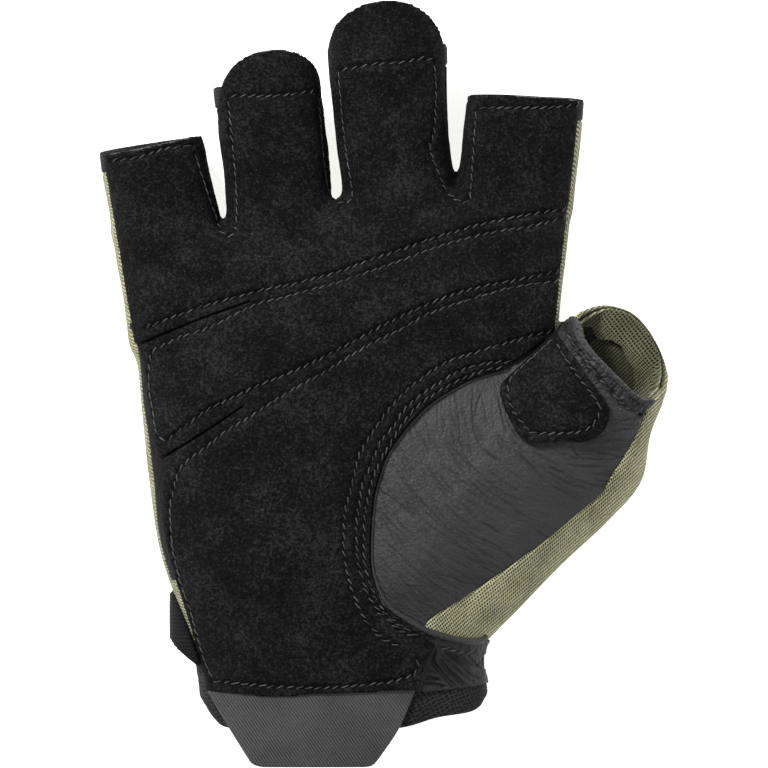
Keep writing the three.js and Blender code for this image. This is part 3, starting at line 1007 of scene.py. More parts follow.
class Finish:
    """One material, built from nodes."""

    def __init__(self, name, **settings):
        self.material = bpy.data.materials.new(name)
        self.material.use_nodes = True
        self.tree = self.material.node_tree
        self.shader = self.tree.nodes["Principled BSDF"]
        for socket, value in settings.items():
            self.shader.inputs[socket.replace("_", " ")].default_value = value

    def node(self, kind, settings=None, inputs=None, output=0):
        made = self.tree.nodes.new(kind)
        for key, value in (settings or {}).items():
            setattr(made, key, value)
        for key, value in (inputs or {}).items():
            self.feed(made.inputs[key], value)
        return Wire(self, made.outputs[output])

    def feed(self, socket, value):
        if isinstance(value, Wire):
            self.tree.links.new(value.socket, socket)
        else:
            socket.default_value = value

    def place(self, scale=(1, 1, 1), turn=(0, 0, 0)):
        """Object coordinates in metres, turned and then scaled."""
        coordinates = self.node("ShaderNodeTexCoord", output="Object")
        inputs = {"Vector": coordinates, "Rotation": turn, "Scale": [1 / s for s in scale]}
        return self.node("ShaderNodeMapping", {"vector_type": "TEXTURE"}, inputs)

    def across_and_along(self, turn=0.0):
        """The X and the Y of the object coordinates, turned round Z."""
        place = self.place(turn=(0, 0, turn))
        axes = self.node("ShaderNodeSeparateXYZ", None, {"Vector": place}).socket.node.outputs
        return Wire(self, axes["X"]), Wire(self, axes["Y"])

    def attribute(self, name):
        return self.node("ShaderNodeAttribute", {"attribute_name": name}, output="Fac")

    def noise(self, vector, scale, detail=3.0, roughness=0.5):
        inputs = {"Vector": vector, "Scale": scale, "Detail": detail, "Roughness": roughness}
        return self.node("ShaderNodeTexNoise", None, inputs)

    def cells(self, vector, scale):
        """The distance to the nearest of many scattered places."""
        inputs = {"Vector": vector, "Scale": scale}
        return self.node("ShaderNodeTexVoronoi", None, inputs, "Distance")

    def colour(self, factor, stops):
        made = self.node("ShaderNodeValToRGB", None, {"Fac": factor}, "Color")
        ramp = made.socket.node.color_ramp
        while len(ramp.elements) < len(stops):
            ramp.elements.new(0.5)
        for element, (place, colour) in zip(ramp.elements, stops):
            element.position = place
            element.color = (*colour, 1)
        return made

    def mixed(self, factor, first, second):
        made = self.tree.nodes.new("ShaderNodeMix")
        made.data_type = "RGBA"
        self.feed(made.inputs[0], factor)
        for index, value in ((6, first), (7, second)):
            self.feed(made.inputs[index], value if isinstance(value, Wire) else (*value, 1))
        return Wire(self, made.outputs[2])

    def bump(self, height, distance, strength):
        inputs = {"Height": height, "Distance": distance, "Strength": strength}
        return self.node("ShaderNodeBump", None, inputs)

    def done(self, **links):
        for socket, value in links.items():
            self.feed(self.shader.inputs[socket.replace("_", " ")], value)
        return self.material


def grey(tone):
    return (tone, tone, tone)


def turns(pitch):
    """Radians to the metre of a wave with a pitch in millimetres."""
    return 2 * math.pi / (pitch * MM)


def suede_finish():
    suede = Finish("suede", Roughness=0.95, Specular_IOR_Level=0.12)
    place = suede.place()
    cloud = suede.noise(place, 95, 4, 0.6)
    blotch = suede.noise(place, 650, 3, 0.65)
    nap = suede.noise(place, 1500, 3, 0.75)
    specks = suede.cells(place, 1000)
    pits = suede.cells(suede.place((1, 0.8, 1)), 560)
    tone = cloud * 0.24 + blotch * 0.2 + nap * 0.56
    colour = suede.colour(tone, [(0.4, grey(0.001)), (0.5, grey(0.0048)), (0.6, grey(0.022))])
    speck = specks.math("LESS_THAN", 0.17) * nap.math("GREATER_THAN", 0.55)
    colour = suede.mixed(speck * 0.6, colour, grey(0.055))
    pit = pits.math("LESS_THAN", 0.14)
    colour = suede.mixed(pit * 0.6, colour, grey(0.0025))
    # Painted shade: the shade attribute darkens the suede along its stitched grooves
    colour = suede.mixed(suede.attribute("shade"), colour, grey(0.0025))
    height = nap + blotch * 0.5 - pit * 0.4
    return suede.done(Base_Color=colour, Normal=suede.bump(height, 0.0006, 0.9))


def cut_edge_finish():
    cut = Finish("cut_edge", Roughness=0.95, Specular_IOR_Level=0.1)
    fuzz = cut.noise(cut.place(), 1500, 3, 0.7)
    colour = cut.colour(fuzz, [(0.4, grey(0.03)), (0.62, grey(0.12))])
    return cut.done(Base_Color=colour, Normal=cut.bump(fuzz, 0.0003, 0.7))


def leather_finish(name, dark, light, gloss):
    leather = Finish(name, Roughness=0.5, Specular_IOR_Level=gloss)
    place = leather.place()
    cloud = leather.noise(place, 80, 3)
    pebble = leather.cells(leather.place((1, 0.6, 1), (0, 0, 0.8)), 1700)
    fine = leather.noise(place, 2200, 2, 0.6)
    colour = leather.colour(cloud * 0.5 + fine * 0.5, [(0.38, dark), (0.62, light)])
    # The shade attribute darkens the leather: painted shade in creases, pleats and stitch grooves,
    # and a darker band by the thumb's mouth
    colour = leather.mixed(leather.attribute("shade"), colour, grey(0.008))
    roughness = (fine * 0.3 + 0.42).clamped(0.3, 0.8)
    grain = leather.bump(pebble * 0.6 + fine * 0.6, 0.00042, 0.6)
    return leather.done(Base_Color=colour, Roughness=roughness, Normal=grain)


def knit_finish(name, hole, dark, light, pitch, turn, wander, depth):
    """A knit of small loops with a hole between every four, its pitch in millimetres."""
    knit = Finish(name, Roughness=0.8, Specular_IOR_Level=0.25)
    x, y = knit.across_and_along(turn)
    sway = knit.noise(knit.place(), 700, 2) * wander
    side, end = knit.attribute("fall_across"), knit.attribute("fall_along")
    x = x + side * math.cos(turn) - end * math.sin(turn)
    y = y + side * math.sin(turn) + end * math.cos(turn)
    along = (x * turns(pitch) + sway).math("COSINE") * 0.5 + 0.5
    across = (y * turns(pitch) * 0.9 + sway).math("COSINE") * 0.5 + 0.5
    gap = along * across
    fuzz = knit.noise(knit.place(), 2300, 3, 0.6)
    patch = knit.noise(knit.place(), 130, 3)
    height = (1 - gap) * 0.75 + (fuzz - 0.5) * 0.5
    tone = height + (patch - 0.5) * 0.35
    colour = knit.colour(tone, [(0.28, hole), (0.55, dark), (0.82, light)])
    # The shade attribute darkens the knit's lining towards the colour of its holes: partly its
    # darker reverse side, partly painted shade inside the hollow
    colour = knit.mixed(knit.attribute("shade"), colour, hole)
    return knit.done(Base_Color=colour, Normal=knit.bump(height, depth, 0.9))


def webbing_finish():
    webbing = Finish("grey_webbing", Roughness=0.6, Specular_IOR_Level=0.35)
    x, y = webbing.across_and_along(0.62)
    twill = (x * turns(0.62)).math("SINE") * 0.5 + 0.5
    cross = (y * turns(0.5)).math("SINE") * 0.5 + 0.5
    fuzz = webbing.noise(webbing.place(), 1700, 3)
    wear = webbing.noise(webbing.place(), 60, 3)
    height = twill * 0.45 + cross * 0.2 + fuzz * 0.35
    tone = height * 0.6 + wear * 0.4
    colour = webbing.colour(tone, [(0.35, grey(0.015)), (0.65, (0.07, 0.07, 0.0705))])
    return webbing.done(Base_Color=colour, Normal=webbing.bump(height, 0.0002, 0.6))


def strap_finish():
    strap = Finish("black_strap", Roughness=0.75, Specular_IOR_Level=0.12)
    x, y = strap.across_and_along()
    ribs = (y * turns(0.9) + (x * turns(1.1)).math("SINE") * 0.9).math("SINE")
    fuzz = strap.noise(strap.place(), 1600, 3)
    height = ribs * 0.25 + 0.25 + fuzz * 0.5
    colour = strap.colour(height, [(0.2, grey(0.002)), (0.8, grey(0.009))])
    return strap.done(Base_Color=colour, Normal=strap.bump(height, 0.0003, 0.6))


def thread_finish():
    thread = Finish("thread", Roughness=0.55, Specular_IOR_Level=0.35)
    each = thread.noise(thread.place(), 420, 2, 0.7)
    twist = thread.noise(thread.place((1, 1, 1), (0.3, 0.2, 0.7)), 3200, 1)
    colour = thread.colour(each * 0.7 + twist * 0.3, [(0.38, grey(0.014)), (0.62, grey(0.085))])
    return thread.done(Base_Color=colour, Normal=thread.bump(twist, 0.0002, 0.5))


FINISHES = {
    "suede": suede_finish(),
    "cut_edge": cut_edge_finish(),
    "leather": leather_finish("leather", (0.024, 0.024, 0.0245), (0.038, 0.038, 0.039), 0.3),
    "dark_leather": leather_finish("dark_leather", grey(0.003), grey(0.011), 0.1),
    "gusset_leather": leather_finish("gusset_leather", grey(0.008), (0.02, 0.02, 0.0205), 0.25),
    "olive": knit_finish(
        "olive_mesh", (0.012, 0.013, 0.006), (0.165, 0.168, 0.084), (0.56, 0.56, 0.35),
        pitch=0.64, turn=0.7, wander=2.2, depth=0.0004,
    ),
    "black": knit_finish(
        "black_knit", grey(0.001), grey(0.005), (0.026, 0.026, 0.0265),
        pitch=0.8, turn=0.35, wander=9.0, depth=0.0007,
    ),
    "grey": webbing_finish(),
    "strap": strap_finish(),
    "thread": thread_finish(),
}


# The pieces

CHANNELS = [("flex_upper_a", "flex_upper_b"), ("flex_lower_a", "flex_lower_b")]
SUEDE_ROWS = [name for name in ROWS if name not in ("patch", "rim", "gusset")]


def channel_depth(points):
    """The unpadded channels between two stitched rows lie lower than the padding."""
    total = np.zeros(len(points))
    for first, second in CHANNELS:
        line = np.vstack([ROWS[first], ROWS[second][::-1]])
        gap = within(points, line) / MM
        total = np.maximum(total, 1 / (1 + np.exp(gap / 0.3)))
    return total


def slit_field(points, name):
    """Above zero inside a slit, which is wider at its mouth than at its end."""
    line = seen(smooth_rows(SLITS[name], 6))
    gap = distance_to_line(points, line)
    along = np.clip((line[-1, 0] - points[:, 0]) / (line[-1, 0] - line[0, 0]), 0, 1)
    return (0.16 + 0.22 * along**2) * MM - gap


def puckers(points, names, seed):
    """Small pulls of the material beside its stitches."""
    gap = row_gap(points, names)
    return 0.14 * np.exp(-((gap / 1.6) ** 2)) * bump_noise(points, 1.6, seed, 2)


def palm_suede():
    def relief(skin):
        points = skin.points
        gap = row_gap(points, SUEDE_ROWS)
        groove = np.exp(-((gap / 0.6) ** 2))
        pad = 1 - np.exp(-skin.edge / MM / 3.5)
        height = (
            0.6 * pad
            - 0.62 * groove
            - 0.5 * channel_depth(points)
            + 0.2 * bump_noise(points, 13, 1)
            + 0.06 * bump_noise(points, 3, 2)
            + puckers(points, SUEDE_ROWS, 3)
        )
        # The second value is painted shade: the colour is darkened along the grooves of the
        # stitched rows
        return height, 0.75 * np.exp(-((gap / 0.42) ** 2))

    field = front("suede")
    for name in SLITS:
        field = np.maximum(field, slit_field(FORM.points, name))
    made = sewn(
        "palm_suede", field, "suede", SUEDE, top=1.8, radius=0.35, levels=1,
        relief=relief, lean=0.3, rim="cut_edge",
    )


def side_base():
    def relief(skin):
        return 0.1 * bump_noise(skin.points, 4, 5), np.zeros(len(skin.points))

    sewn(
        "side_base", front("base"), "dark_leather", LEATHER, top=0.25, side=0.1,
        radius=0.3, levels=1, relief=relief,
    )


def thenar_bulge(points):
    """The ball of the thumb stands up in the middle of its leather, in millimetres."""
    gap = np.maximum(-within(points, LINES["thenar"]), 0) / MM
    return BULGE_HEIGHT * (1 - np.exp(-gap / BULGE_RUN_IN))


# In pixels: how far a way counts round its place, and the length of a crease's steps
WAY_REACH = 24
CREASE_STEP = 3.6

# Places in the picture and the ways that the leather's creases run there, in degrees turned
# down from the right
CREASE_WAYS = [
    (378, 515, 60), (385, 480, 62), (400, 500, 50), (405, 450, 66), (430, 420, 74), (450, 470, 46),
    (455, 400, 80), (480, 420, 84), (480, 385, 90), (500, 470, 42), (520, 500, 35), (520, 460, 42),
    (560, 470, 25), (560, 500, 22), (400, 560, 54), (392, 590, 50), (430, 540, 42), (470, 540, 30),
    (600, 465, 0), (610, 430, -10), (630, 418, -14), (500, 400, 75), (440, 580, 20), (590, 360, 50),
    (605, 385, 40),
]
LONG_CREASES = [
    [(378.7, 490), (398, 503), (421, 522)],
    [(393, 465.6), (409, 488), (431.7, 512), (450, 531)],
    [(447.7, 442), (463.7, 460), (485, 479)],
    [(463.7, 475), (478, 489), (491.7, 501.7)],
    [(482, 447), (491, 456), (501, 462)],
    [(514, 451), (528, 463), (541, 477.7)],
    [(550, 467), (558, 471), (566, 474)],
    [(482, 392), (475.7, 411), (478, 433.7)],
    [(471.7, 400), (475, 430), (481, 443)],
    [(379.7, 511), (390, 532), (398, 547)],
    [(612, 424), (625, 420), (640, 415)],
    [(611, 431), (624, 429), (640, 428)],
    [(604, 440), (618, 440), (634, 441)],
    [(598, 446), (612, 449), (626, 452)],
    [(570, 446), (578, 456), (588, 462)],
]


def crease_way(x, y):
    """The way of the creases at a place in the picture, from the given ways round it."""
    table = np.array(CREASE_WAYS, float)
    away = (table[:, 0] - x) ** 2 + (table[:, 1] - y) ** 2
    weight = np.exp(-away / (2 * WAY_REACH**2)) + 1e-12
    angle = np.radians(table[:, 2])
    return math.atan2((weight * np.sin(angle)).sum(), (weight * np.cos(angle)).sum())


def drawn_creases(count, seed, low, high):
    """Fine creases that follow the leather's own ways from places between two corners."""
    rng = np.random.default_rng(seed)
    creases = []
    for _ in range(count):
        x, y = rng.uniform(low[0], high[0]), rng.uniform(low[1], high[1])
        steps = int(rng.integers(3, 12))
        line = [(x, y)]
        swing = rng.normal(0, 0.12)
        for _ in range(steps):
            way = crease_way(x, y) + swing + rng.normal(0, 0.07)
            x, y = x + CREASE_STEP * math.cos(way), y + CREASE_STEP * math.sin(way)
            line.append((x, y))
        creases.append((seen(line), rng.uniform(0.15, 0.28), rng.uniform(0.25, 1.0) ** 1.4))
    return creases


def thenar_creases():
    creases = [(seen(smooth_rows(line, 4)), 0.26, 1.0) for line in LONG_CREASES]
    creases += drawn_creases(120, 10, (371, 430), (430, 600))
    creases += drawn_creases(200, 11, (374, 385), (480, 600))
    creases += drawn_creases(130, 12, (440, 385), (560, 560))
    creases += drawn_creases(60, 13, (560, 440), (640, 500))
    creases += drawn_creases(60, 14, (572, 335), (645, 425))
    return creases


def rim_creases():
    """Short wrinkles where the leather is gathered round the thumb's mouth."""
    rng = np.random.default_rng(23)
    way = np.gradient(RIM_LINE, axis=0)
    way /= np.linalg.norm(way, axis=1, keepdims=True)
    inward = np.column_stack([way[:, 1], -way[:, 0]])
    ends = len(RIM_LINE) // 8
    share = np.linspace(0, 1, 4)[:, None]
    creases = []
    for _ in range(RIM_CREASES):
        k = rng.integers(ends, len(RIM_LINE) - ends)
        turn = rng.uniform(-0.7, 0.7)
        x, y = inward[k]
        cos, sin = math.cos(turn), math.sin(turn)
        heading = np.array([x * cos - y * sin, x * sin + y * cos])
        off = inward[k] * rng.uniform(0.4, 3.0) + way[k] * rng.uniform(-0.8, 0.8)
        sway = way[k] * np.sin(share * 3) * rng.uniform(-0.3, 0.3)
        line = RIM_LINE[k] + off * MM + (heading * share * rng.uniform(1.0, 3.6) + sway) * MM
        creases.append((line, rng.uniform(0.14, 0.26), rng.uniform(0.6, 1.6)))
    return creases


def thenar_leather():
    creases = thenar_creases() + rim_creases()

    def relief(skin):
        points = skin.points
        depth = creased(points, creases)
        gap = row_gap(points, ["rim"])
        groove = np.exp(-((gap / 0.5) ** 2))
        height = (
            thenar_bulge(points)
            - 0.32 * depth
            - 0.55 * groove
            + 0.14 * bump_noise(points, 6, 4)
            + 3.2 * puckers(points, ["rim"], 7)
        )
        # The shade is painted shade in the creases and in the groove of the rim's stitches, plus a
        # darker band along the thumb's mouth
        by_rim = 0.5 * np.exp(-((distance_to_line(points, RIM_LINE) / (4.2 * MM)) ** 4))
        return height, np.clip(np.maximum(0.5 * depth, 0.8 * groove) + by_rim, 0, 1)

    sewn(
        "thenar_leather", front("thenar"), "leather", LEATHER, radius=0.3, levels=2,
        relief=relief,
    )


def thumb_patch():
    def relief(skin):
        points = skin.points
        gap = row_gap(points, ["patch"])
        groove = np.exp(-((gap / 0.6) ** 2))
        height = thenar_bulge(points) - 0.45 * groove + puckers(points, ["patch"], 8)
        # The second value is painted shade along the groove of the patch's stitches
        return height, 0.7 * np.exp(-((gap / 0.4) ** 2))

    made = sewn(
        "thumb_patch", front("patch"), "suede", 1.5, top=1.5, side=0.8, radius=0.3,
        levels=2, relief=relief, lean=0.3, rim="cut_edge",
    )


def thumb_rim():
    def relief(skin):
        height = thenar_bulge(skin.points) + 0.22 * bump_noise(skin.points, 1.5, 19, 2)
        return height, np.full(len(skin.points), 0.25)

    band = distance_to_line(FORM.points, RIM_LINE) - RIM_REACH * MM
    field = np.maximum(band, front("thenar", 0.25))
    sewn(
        "thumb_rim", field, "leather", 1.7, top=0.4, side=0.4, radius=0.6, levels=2,
        relief=relief,
    )


# The gusset's pleats: each one's line in the picture, its width in millimetres and its depth
PLEATS = [
    ([(434, 650), (431.5, 660), (442, 674), (455, 688)], 0.7, 1.0),
    ([(442, 650), (449, 655.5), (457, 662), (464, 669)], 0.55, 1.0),
    ([(446, 650), (453, 655), (461, 661), (468, 667)], 0.4, 0.7),
    ([(438, 658), (447, 670), (454, 677), (464, 686)], 0.6, 0.9),
    ([(440, 654), (450, 664), (459, 672), (472, 682)], 0.45, 0.6),
    ([(424.5, 678), (433, 679), (443, 681)], 0.5, 0.8),
    ([(423, 683), (433, 684), (446, 687)], 0.4, 0.7),
    ([(427, 671), (437, 674), (446, 681)], 0.4, 0.6),
    ([(455, 653), (464, 660), (476, 668)], 0.4, 0.5),
    ([(466, 655), (473, 662), (481, 669)], 0.4, 0.5),
    ([(462, 668), (470, 675), (481, 680)], 0.4, 0.6),
]


def wrist_gusset():
    pleats = [(seen(smooth_rows(line, 5)), width, depth) for line, width, depth in PLEATS]

    def relief(skin):
        points = skin.points
        depth = creased(points, pleats)
        groove = np.exp(-((row_gap(points, ["gusset"]) / 0.5) ** 2))
        height = 0.5 - 1.1 * depth - 0.3 * groove + 0.3 * bump_noise(points, 3, 6)
        # The second value is painted shade in the pleats and along the groove of the stitches
        return height, np.clip(np.maximum(0.85 * depth, 0.6 * groove), 0, 1)

    sewn(
        "wrist_gusset", front("gusset"), "gusset_leather", LEATHER, top=0.3, side=0.1,
        radius=0.3, levels=2, relief=relief,
    )


def wrist_cuff():
    def relief(skin):
        return 0.12 * bump_noise(skin.points, 1.5, 9, 2), np.zeros(len(skin.points))

    lower = past(FORM.points, CUFF_LINE, 1)
    field = np.maximum(lower, -lower - CUFF_WIDTH * MM)
    for name in ("suede", "gusset"):
        field = np.maximum(field, -front(name, -CUFF_UNDER))
    sewn(
        "wrist_cuff", field, "black", 2.0, top=0.2, side=0.2, radius=0.9, levels=1,
        relief=relief,
    )


def heel_tab():
    def relief(skin):
        return 0.12 * bump_noise(skin.points, 9, 10), 0.35 * np.exp(-skin.edge / MM / 0.3)

    sewn(
        "heel_tab", front("tab"), "grey", 1.2, top=1.3, side=0.6, radius=0.3,
        levels=2, relief=relief,
    )


def finger_past_end(points, name):
    """Below zero beyond the line where a finger's back ends."""
    line = spots(BACK_ENDS[name])
    inside = (points[:, 0] > line[0, 0]) & (points[:, 0] < line[-1, 0])
    height = np.interp(points[:, 0], line[:, 0], line[:, 1])
    return np.where(inside, height - points[:, 1], 1.0)


def by_thumb(points):
    """Whether each point lies on the thumb's side of the fold beside the index finger."""
    ((x, y),) = spots([THUMB_CORNER])
    return (points[:, 0] > x) & (points[:, 1] < y)


def back_field(points):
    """Below zero on the olive knit: all of the form that nothing else covers."""
    field = np.full(len(points), -1.0)
    for name in ("suede", "thenar", "gusset", "base"):
        field = np.maximum(field, -front(name, -KNIT_UNDER))
    field = np.maximum(field, past(points, CUFF_LINE, 1) + KNIT_OVER_CUFF * MM)
    opening = np.maximum(past(points, RIM_LINE, 1), above(points, MOUTH_HEIGHT))
    mouth = np.maximum(past(points, MOUTH_LINE, -1), -opening)
    return np.where(by_thumb(points), np.maximum(field, mouth), field)


def gusset_window(points, name):
    """Below zero on the side walls on both sides of one gap between fingers."""
    across, crotch = FINGER_GAPS[name]
    ((middle, top),) = spots([(across, crotch)])
    side = np.abs(points[:, 0] - middle) - WINDOW_REACH * MM
    along = top - WINDOW_BELOW_CROTCH * MM - points[:, 1]
    below = points[:, 2] - (SEAM_HEIGHT - 0.15) * MM
    return np.maximum.reduce([side, along, above(points, WINDOW_FOOT), below])


def tucked(skin):
    """How the knit goes down under the edges of what is sewn onto it."""
    sink = np.zeros(len(skin.points))
    high = np.flatnonzero(skin.points[:, 2] > (SEAM_HEIGHT - 0.2) * MM)
    points = skin.points[high]
    rise = points[:, 2] / MM - SEAM_HEIGHT
    steep = 1 - facing_up(skin)[high, 0]
    amounts = {"suede": TUCK_FLAT + TUCK * steep, "thenar": TUCK, "gusset": TUCK, "base": TUCK}
    for name, amount in amounts.items():
        depth = np.minimum(-within(points, LINES[name]) / MM, rise)
        sink[high] = np.maximum(sink[high], amount * np.clip(depth / TUCK_RUN_IN + 0.3, 0, 1))
    return -np.minimum(sink, KNIT - 0.15), np.zeros(len(skin.points))


def thumb_hem(whole):
    """The knit folded inward round the thumb's mouth, with a tape in its corner."""
    points = FORM.points
    wave = 0.7 * bump_noise(points, 3.5, 15) * MM
    near = distance_to_line(points, MOUTH_LINE) - HEM_WIDTH * MM + wave
    field = np.where(by_thumb(points), np.maximum(near, whole + 0.25 * MM), 1.0)
    depth = -KNIT - 0.15
    # The lining's inside shade is partly the knit's darker reverse side and partly painted shade in
    # the thumb's mouth
    sewn(
        "thumb_hem", field, "olive", 1.0, top=depth, side=depth, radius=0.3,
        levels=1, inside=0.7,
    )
    tape = np.maximum(field, within(points, spots(TAPE_OUTLINE)))
    depth = -KNIT - 1.25
    sewn("thumb_tape", tape, "black", 0.6, top=depth, side=depth, radius=0.2)


def backs():
    """The olive backs of the hand and the thumb, and their black edges and side walls."""
    points = FORM.points
    whole = back_field(points)
    ends = {name: finger_past_end(points, name) for name in BACK_ENDS}
    windows = {name: gusset_window(points, name) for name in FINGER_GAPS}
    hand = whole.copy()
    for end in ends.values():
        hand = np.maximum(hand, -end + BINDING_WIDTH * MM)
    for window in windows.values():
        hand = np.maximum(hand, -window)
    seam = past(points, THUMB_SEAM_LINE, 1)
    thumb = np.maximum(whole, seam)
    for name, field in (("hand_back", np.maximum(hand, -seam)), ("thumb_back", thumb)):
        # The lining's inside shade is partly the knit's darker reverse side and partly painted
        # shade in the hollow
        sewn(name, field, "olive", KNIT, relief=tucked, inside=0.85)
    thumb_hem(thumb)
    for name, end in ends.items():
        field = np.maximum(np.maximum(whole, end - BINDING_WIDTH * MM), -end)
        sewn("binding_" + name, field, "black", 1.6, relief=tucked)
    for name, window in windows.items():
        field = np.maximum(whole, window)
        for end in ends.values():
            field = np.maximum(field, -end + BINDING_WIDTH * MM)
        sewn(
            "gusset_" + name, field, "black", KNIT, top=-0.05, side=-0.05,
            radius=0.3, relief=tucked,
        )


def sweep(line, radius, sides):
    """A closed round tube along a line of points in metres, its radius in metres at each point."""
    way = np.gradient(line, axis=0)
    way /= np.linalg.norm(way, axis=1, keepdims=True)
    side = np.cross(way, UP)
    side /= np.maximum(np.linalg.norm(side, axis=1, keepdims=True), 1e-9)
    over = np.cross(side, way)
    turn = np.linspace(0, 2 * math.pi, sides, endpoint=False)[None, :, None]
    ring = np.cos(turn) * side[:, None] + np.sin(turn) * over[:, None]
    points = (line[:, None] + radius[:, None, None] * ring).reshape(-1, 3)
    around = np.arange(sides)
    nxt = (around + 1) % sides
    triangles = []
    for r in range(len(line) - 1):
        a, b = r * sides + around, r * sides + nxt
        triangles += [np.column_stack([a, b + sides, b])]
        triangles += [np.column_stack([a, a + sides, b + sides])]
    ends = len(points)
    points = np.vstack([points, line[0], line[-1]])
    far = (len(line) - 1) * sides
    triangles.append(np.column_stack([0 * around + ends, around, nxt]))
    triangles.append(np.column_stack([0 * around + ends + 1, far + nxt, far + around]))
    return Skin(points, np.vstack(triangles))


# The piping's places in the picture and its radius in millimetres
WELT_LINE = [
    (510, 370.5, 0.28), (491, 374.5, 0.32), (472, 381, 0.34), (453, 390.5, 0.34), (432, 404, 0.34),
    (415, 420, 0.34), (401, 437, 0.34), (387.5, 457.5, 0.34), (380.5, 477, 0.34),
    (375.5, 496, 0.34), (373, 521, 0.36), (371.5, 553, 0.38), (374, 574, 0.4), (380.5, 593, 0.48),
    (389, 606.5, 0.6), (398, 614, 0.7), (407, 619.5, 0.78), (415, 624.5, 0.82),
    (423.5, 629.5, 0.82), (431, 632.5, 0.8), (443, 636, 0.78), (456, 639.3, 0.76),
    (469, 641.5, 0.74), (480, 641, 0.7), (486, 637, 0.6),
]


def thenar_welt():
    """The piping, which stands higher on the form where it is thicker."""
    table = smooth_rows(WELT_LINE, 6)
    places, _ = dropped(FORM_TREE, seen(table[:, :2]))
    points = np.array([list(place) for place in places])
    thick = np.clip((table[:, 2] - 0.3) / 0.5, 0, 1)
    points[:, 2] += (0.35 + 0.5 * thick) * MM
    made = new_object("sewn_thenar_welt", sweep(points, table[:, 2] * MM, 12))
    made.data.materials.append(FINISHES["leather"])
    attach(made, "root")
    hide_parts("thenar_welt")


def wrist_strap():
    """The strap across the back, whose fold comes up beside the suede at the left."""
    form = fused(loft(STRAP, PALM_HEIGHT, 0), STRAP_VOXEL).smoothed(6)
    points = form.points
    upper = np.minimum(points[:, 2] - STRAP_TOP * MM, within(points, spots(STRAP_FOLD)))
    skin = form.cut(np.maximum(within(points, spots(STRAP_WINDOW)), upper)).largest()
    drop = rounded(skin.edge, STRAP_RADIUS) * STRAP_RADIUS * MM
    outer = skin.points - skin.normal * drop[:, None]
    inner = skin.points - skin.normal * STRAP_THICKNESS * MM
    count = len(outer)
    wall = wall_of(skin.border(), np.arange(count) + count)
    triangles = np.vstack([skin.triangles, skin.triangles[:, ::-1] + count, wall])
    made = new_object("sewn_wrist_strap", Skin(np.vstack([outer, inner]), triangles))
    made.data.materials.append(FINISHES["strap"])
    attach(made, "root")
    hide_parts("wrist_strap")


def stitch_shape():
    """One stitch along X, one unit long: its middle stands up and its ends go down."""
    sides, rings = 6, 5
    points = []
    for r in range(rings):
        t = r / (rings - 1)
        x = t - 0.5
        rise = math.sin(math.pi * t) ** 0.6
        radius = 0.55 + 0.45 * rise
        for s in range(sides):
            turn = 2 * math.pi * s / sides
            points.append((x, radius * math.cos(turn), radius * math.sin(turn), rise))
    triangles = []
    for r in range(rings - 1):
        for s in range(sides):
            a, b = r * sides + s, r * sides + (s + 1) % sides
            triangles += [(a, b, b + sides), (a, b + sides, a + sides)]
    far = (rings - 1) * sides
    for s in range(1, sides - 1):
        triangles += [(0, s + 1, s), (far, far + s, far + s + 1)]
    return np.array(points), np.array(triangles)


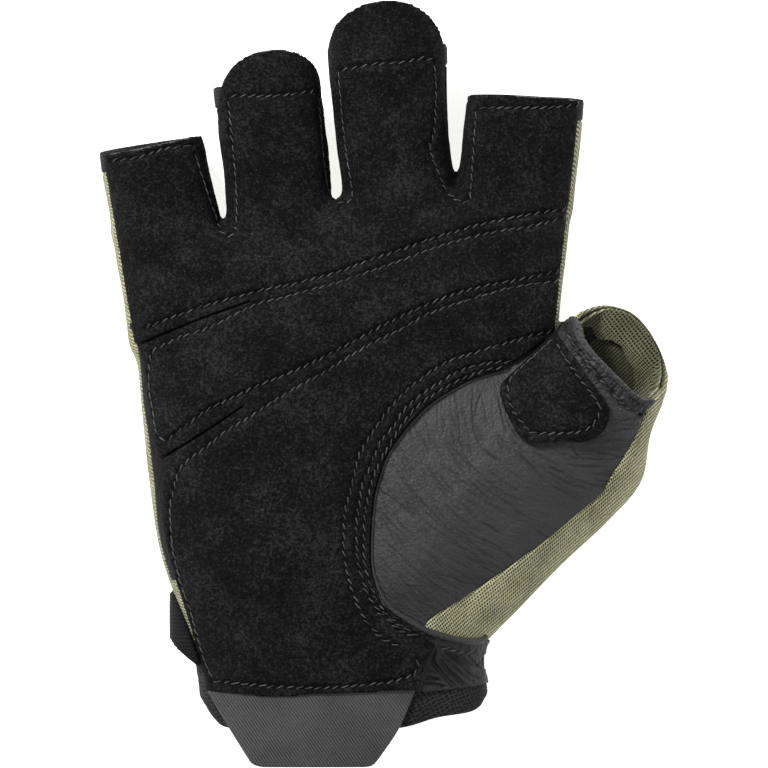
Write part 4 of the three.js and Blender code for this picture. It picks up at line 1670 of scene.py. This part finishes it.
def stitched(name, rows, tree):
    """Rows of slanted stitches set on the surface."""
    shape, triangles = stitch_shape()
    random.seed(name)
    made_points, made_triangles = [], []
    for row in rows:
        line = ROWS[row]
        steps = np.linalg.norm(np.diff(line, axis=0), axis=1)
        long = np.concatenate([[0], np.cumsum(steps)])
        count = max(2, round(long[-1] / (STITCH["pitch"] * MM)))
        middles = (np.arange(count) + 0.5) * long[-1] / count
        before, here, after = (
            np.column_stack([np.interp(middles + gap, long, line[:, k]) for k in range(2)])
            for gap in (-MM, 0, MM)
        )
        places, normals = dropped(tree, here)
        for place, normal, way in zip(places, normals, after - before):
            slant = math.radians(STITCH["slant"] + random.uniform(-5, 5))
            forward = Vector((way[0], way[1], 0)).normalized()
            forward.rotate(Matrix.Rotation(slant, 3, "Z"))
            forward = (forward - forward.dot(normal) * normal).normalized()
            side = normal.cross(forward)
            size = STITCH["length"] * MM * random.uniform(0.94, 1.04)
            radius = STITCH["radius"] * MM
            rise = shape[:, 3] * STITCH["rise"] * MM - STITCH["sunk"] * MM
            local = (
                np.outer(shape[:, 0] * size, forward)
                + np.outer(shape[:, 1] * radius, side)
                + np.outer(shape[:, 2] * radius + rise, normal)
            )
            made_triangles.append(triangles + len(made_points) * len(shape))
            made_points.append(local + np.array(place))
    skin = Skin(np.vstack(made_points), np.vstack(made_triangles))
    made = new_object(name, skin)
    made.data.materials.append(FINISHES["thread"])
    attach(made, "root")


def stitches():
    tree = tree_of(TOPS)
    stitched("suede_stitches", SUEDE_ROWS, tree)
    stitched("patch_stitches", ["patch"], tree)
    stitched("leather_stitches", ["rim", "gusset"], tree)


palm_suede()
side_base()
thenar_leather()
thumb_patch()
thumb_rim()
wrist_gusset()
wrist_cuff()
heel_tab()
backs()
thenar_welt()
wrist_strap()
stitches()


# Floor, lights and camera


def floor():
    bpy.ops.mesh.primitive_plane_add(size=6, location=(0, 0, -0.0002))
    made = bpy.context.object
    made.name = "floor"
    paper = Finish(
        "paper", Roughness=0.9, Base_Color=(0.93, 0.93, 0.93, 1),
        Emission_Color=(1, 1, 1, 1), Emission_Strength=0.8,
    )
    made.data.materials.append(paper.material)


def soft_light(name, place, size, power, target=(0, 0, 0.01)):
    data = bpy.data.lights.new(name, "AREA")
    data.shape = "DISK"
    data.size = size
    data.energy = power
    made = bpy.data.objects.new(name, data)
    made.location = place
    made.rotation_euler = (Vector(target) - Vector(place)).to_track_quat("-Z", "Y").to_euler()
    bpy.context.collection.objects.link(made)


def studio():
    soft_light("key", (-0.55, 0.8, 0.75), 0.35, 20)
    soft_light("fill", (0.8, -0.3, 0.9), 0.8, 3)
    world = bpy.data.worlds.new("studio")
    bpy.context.scene.world = world
    world.use_nodes = True
    background = world.node_tree.nodes["Background"]
    background.inputs["Color"].default_value = (1, 1, 1, 1)
    background.inputs["Strength"].default_value = 0.38


def camera():
    data = bpy.data.cameras.new("camera")
    data.lens = CAMERA["lens"]
    data.sensor_width = CAMERA["sensor"]
    data.clip_start = 0.05
    data.clip_end = 20
    made = bpy.data.objects.new("camera", data)
    ((x, y),) = spots([(CAMERA["x"], CAMERA["y"])])
    made.location = (x, y, CAMERA["focus"] + CAMERA_DISTANCE)
    made.rotation_euler = (0, 0, 0)
    bpy.context.collection.objects.link(made)
    bpy.context.scene.camera = made


floor()
studio()
camera()
bpy.context.scene.view_settings.view_transform = "Standard"
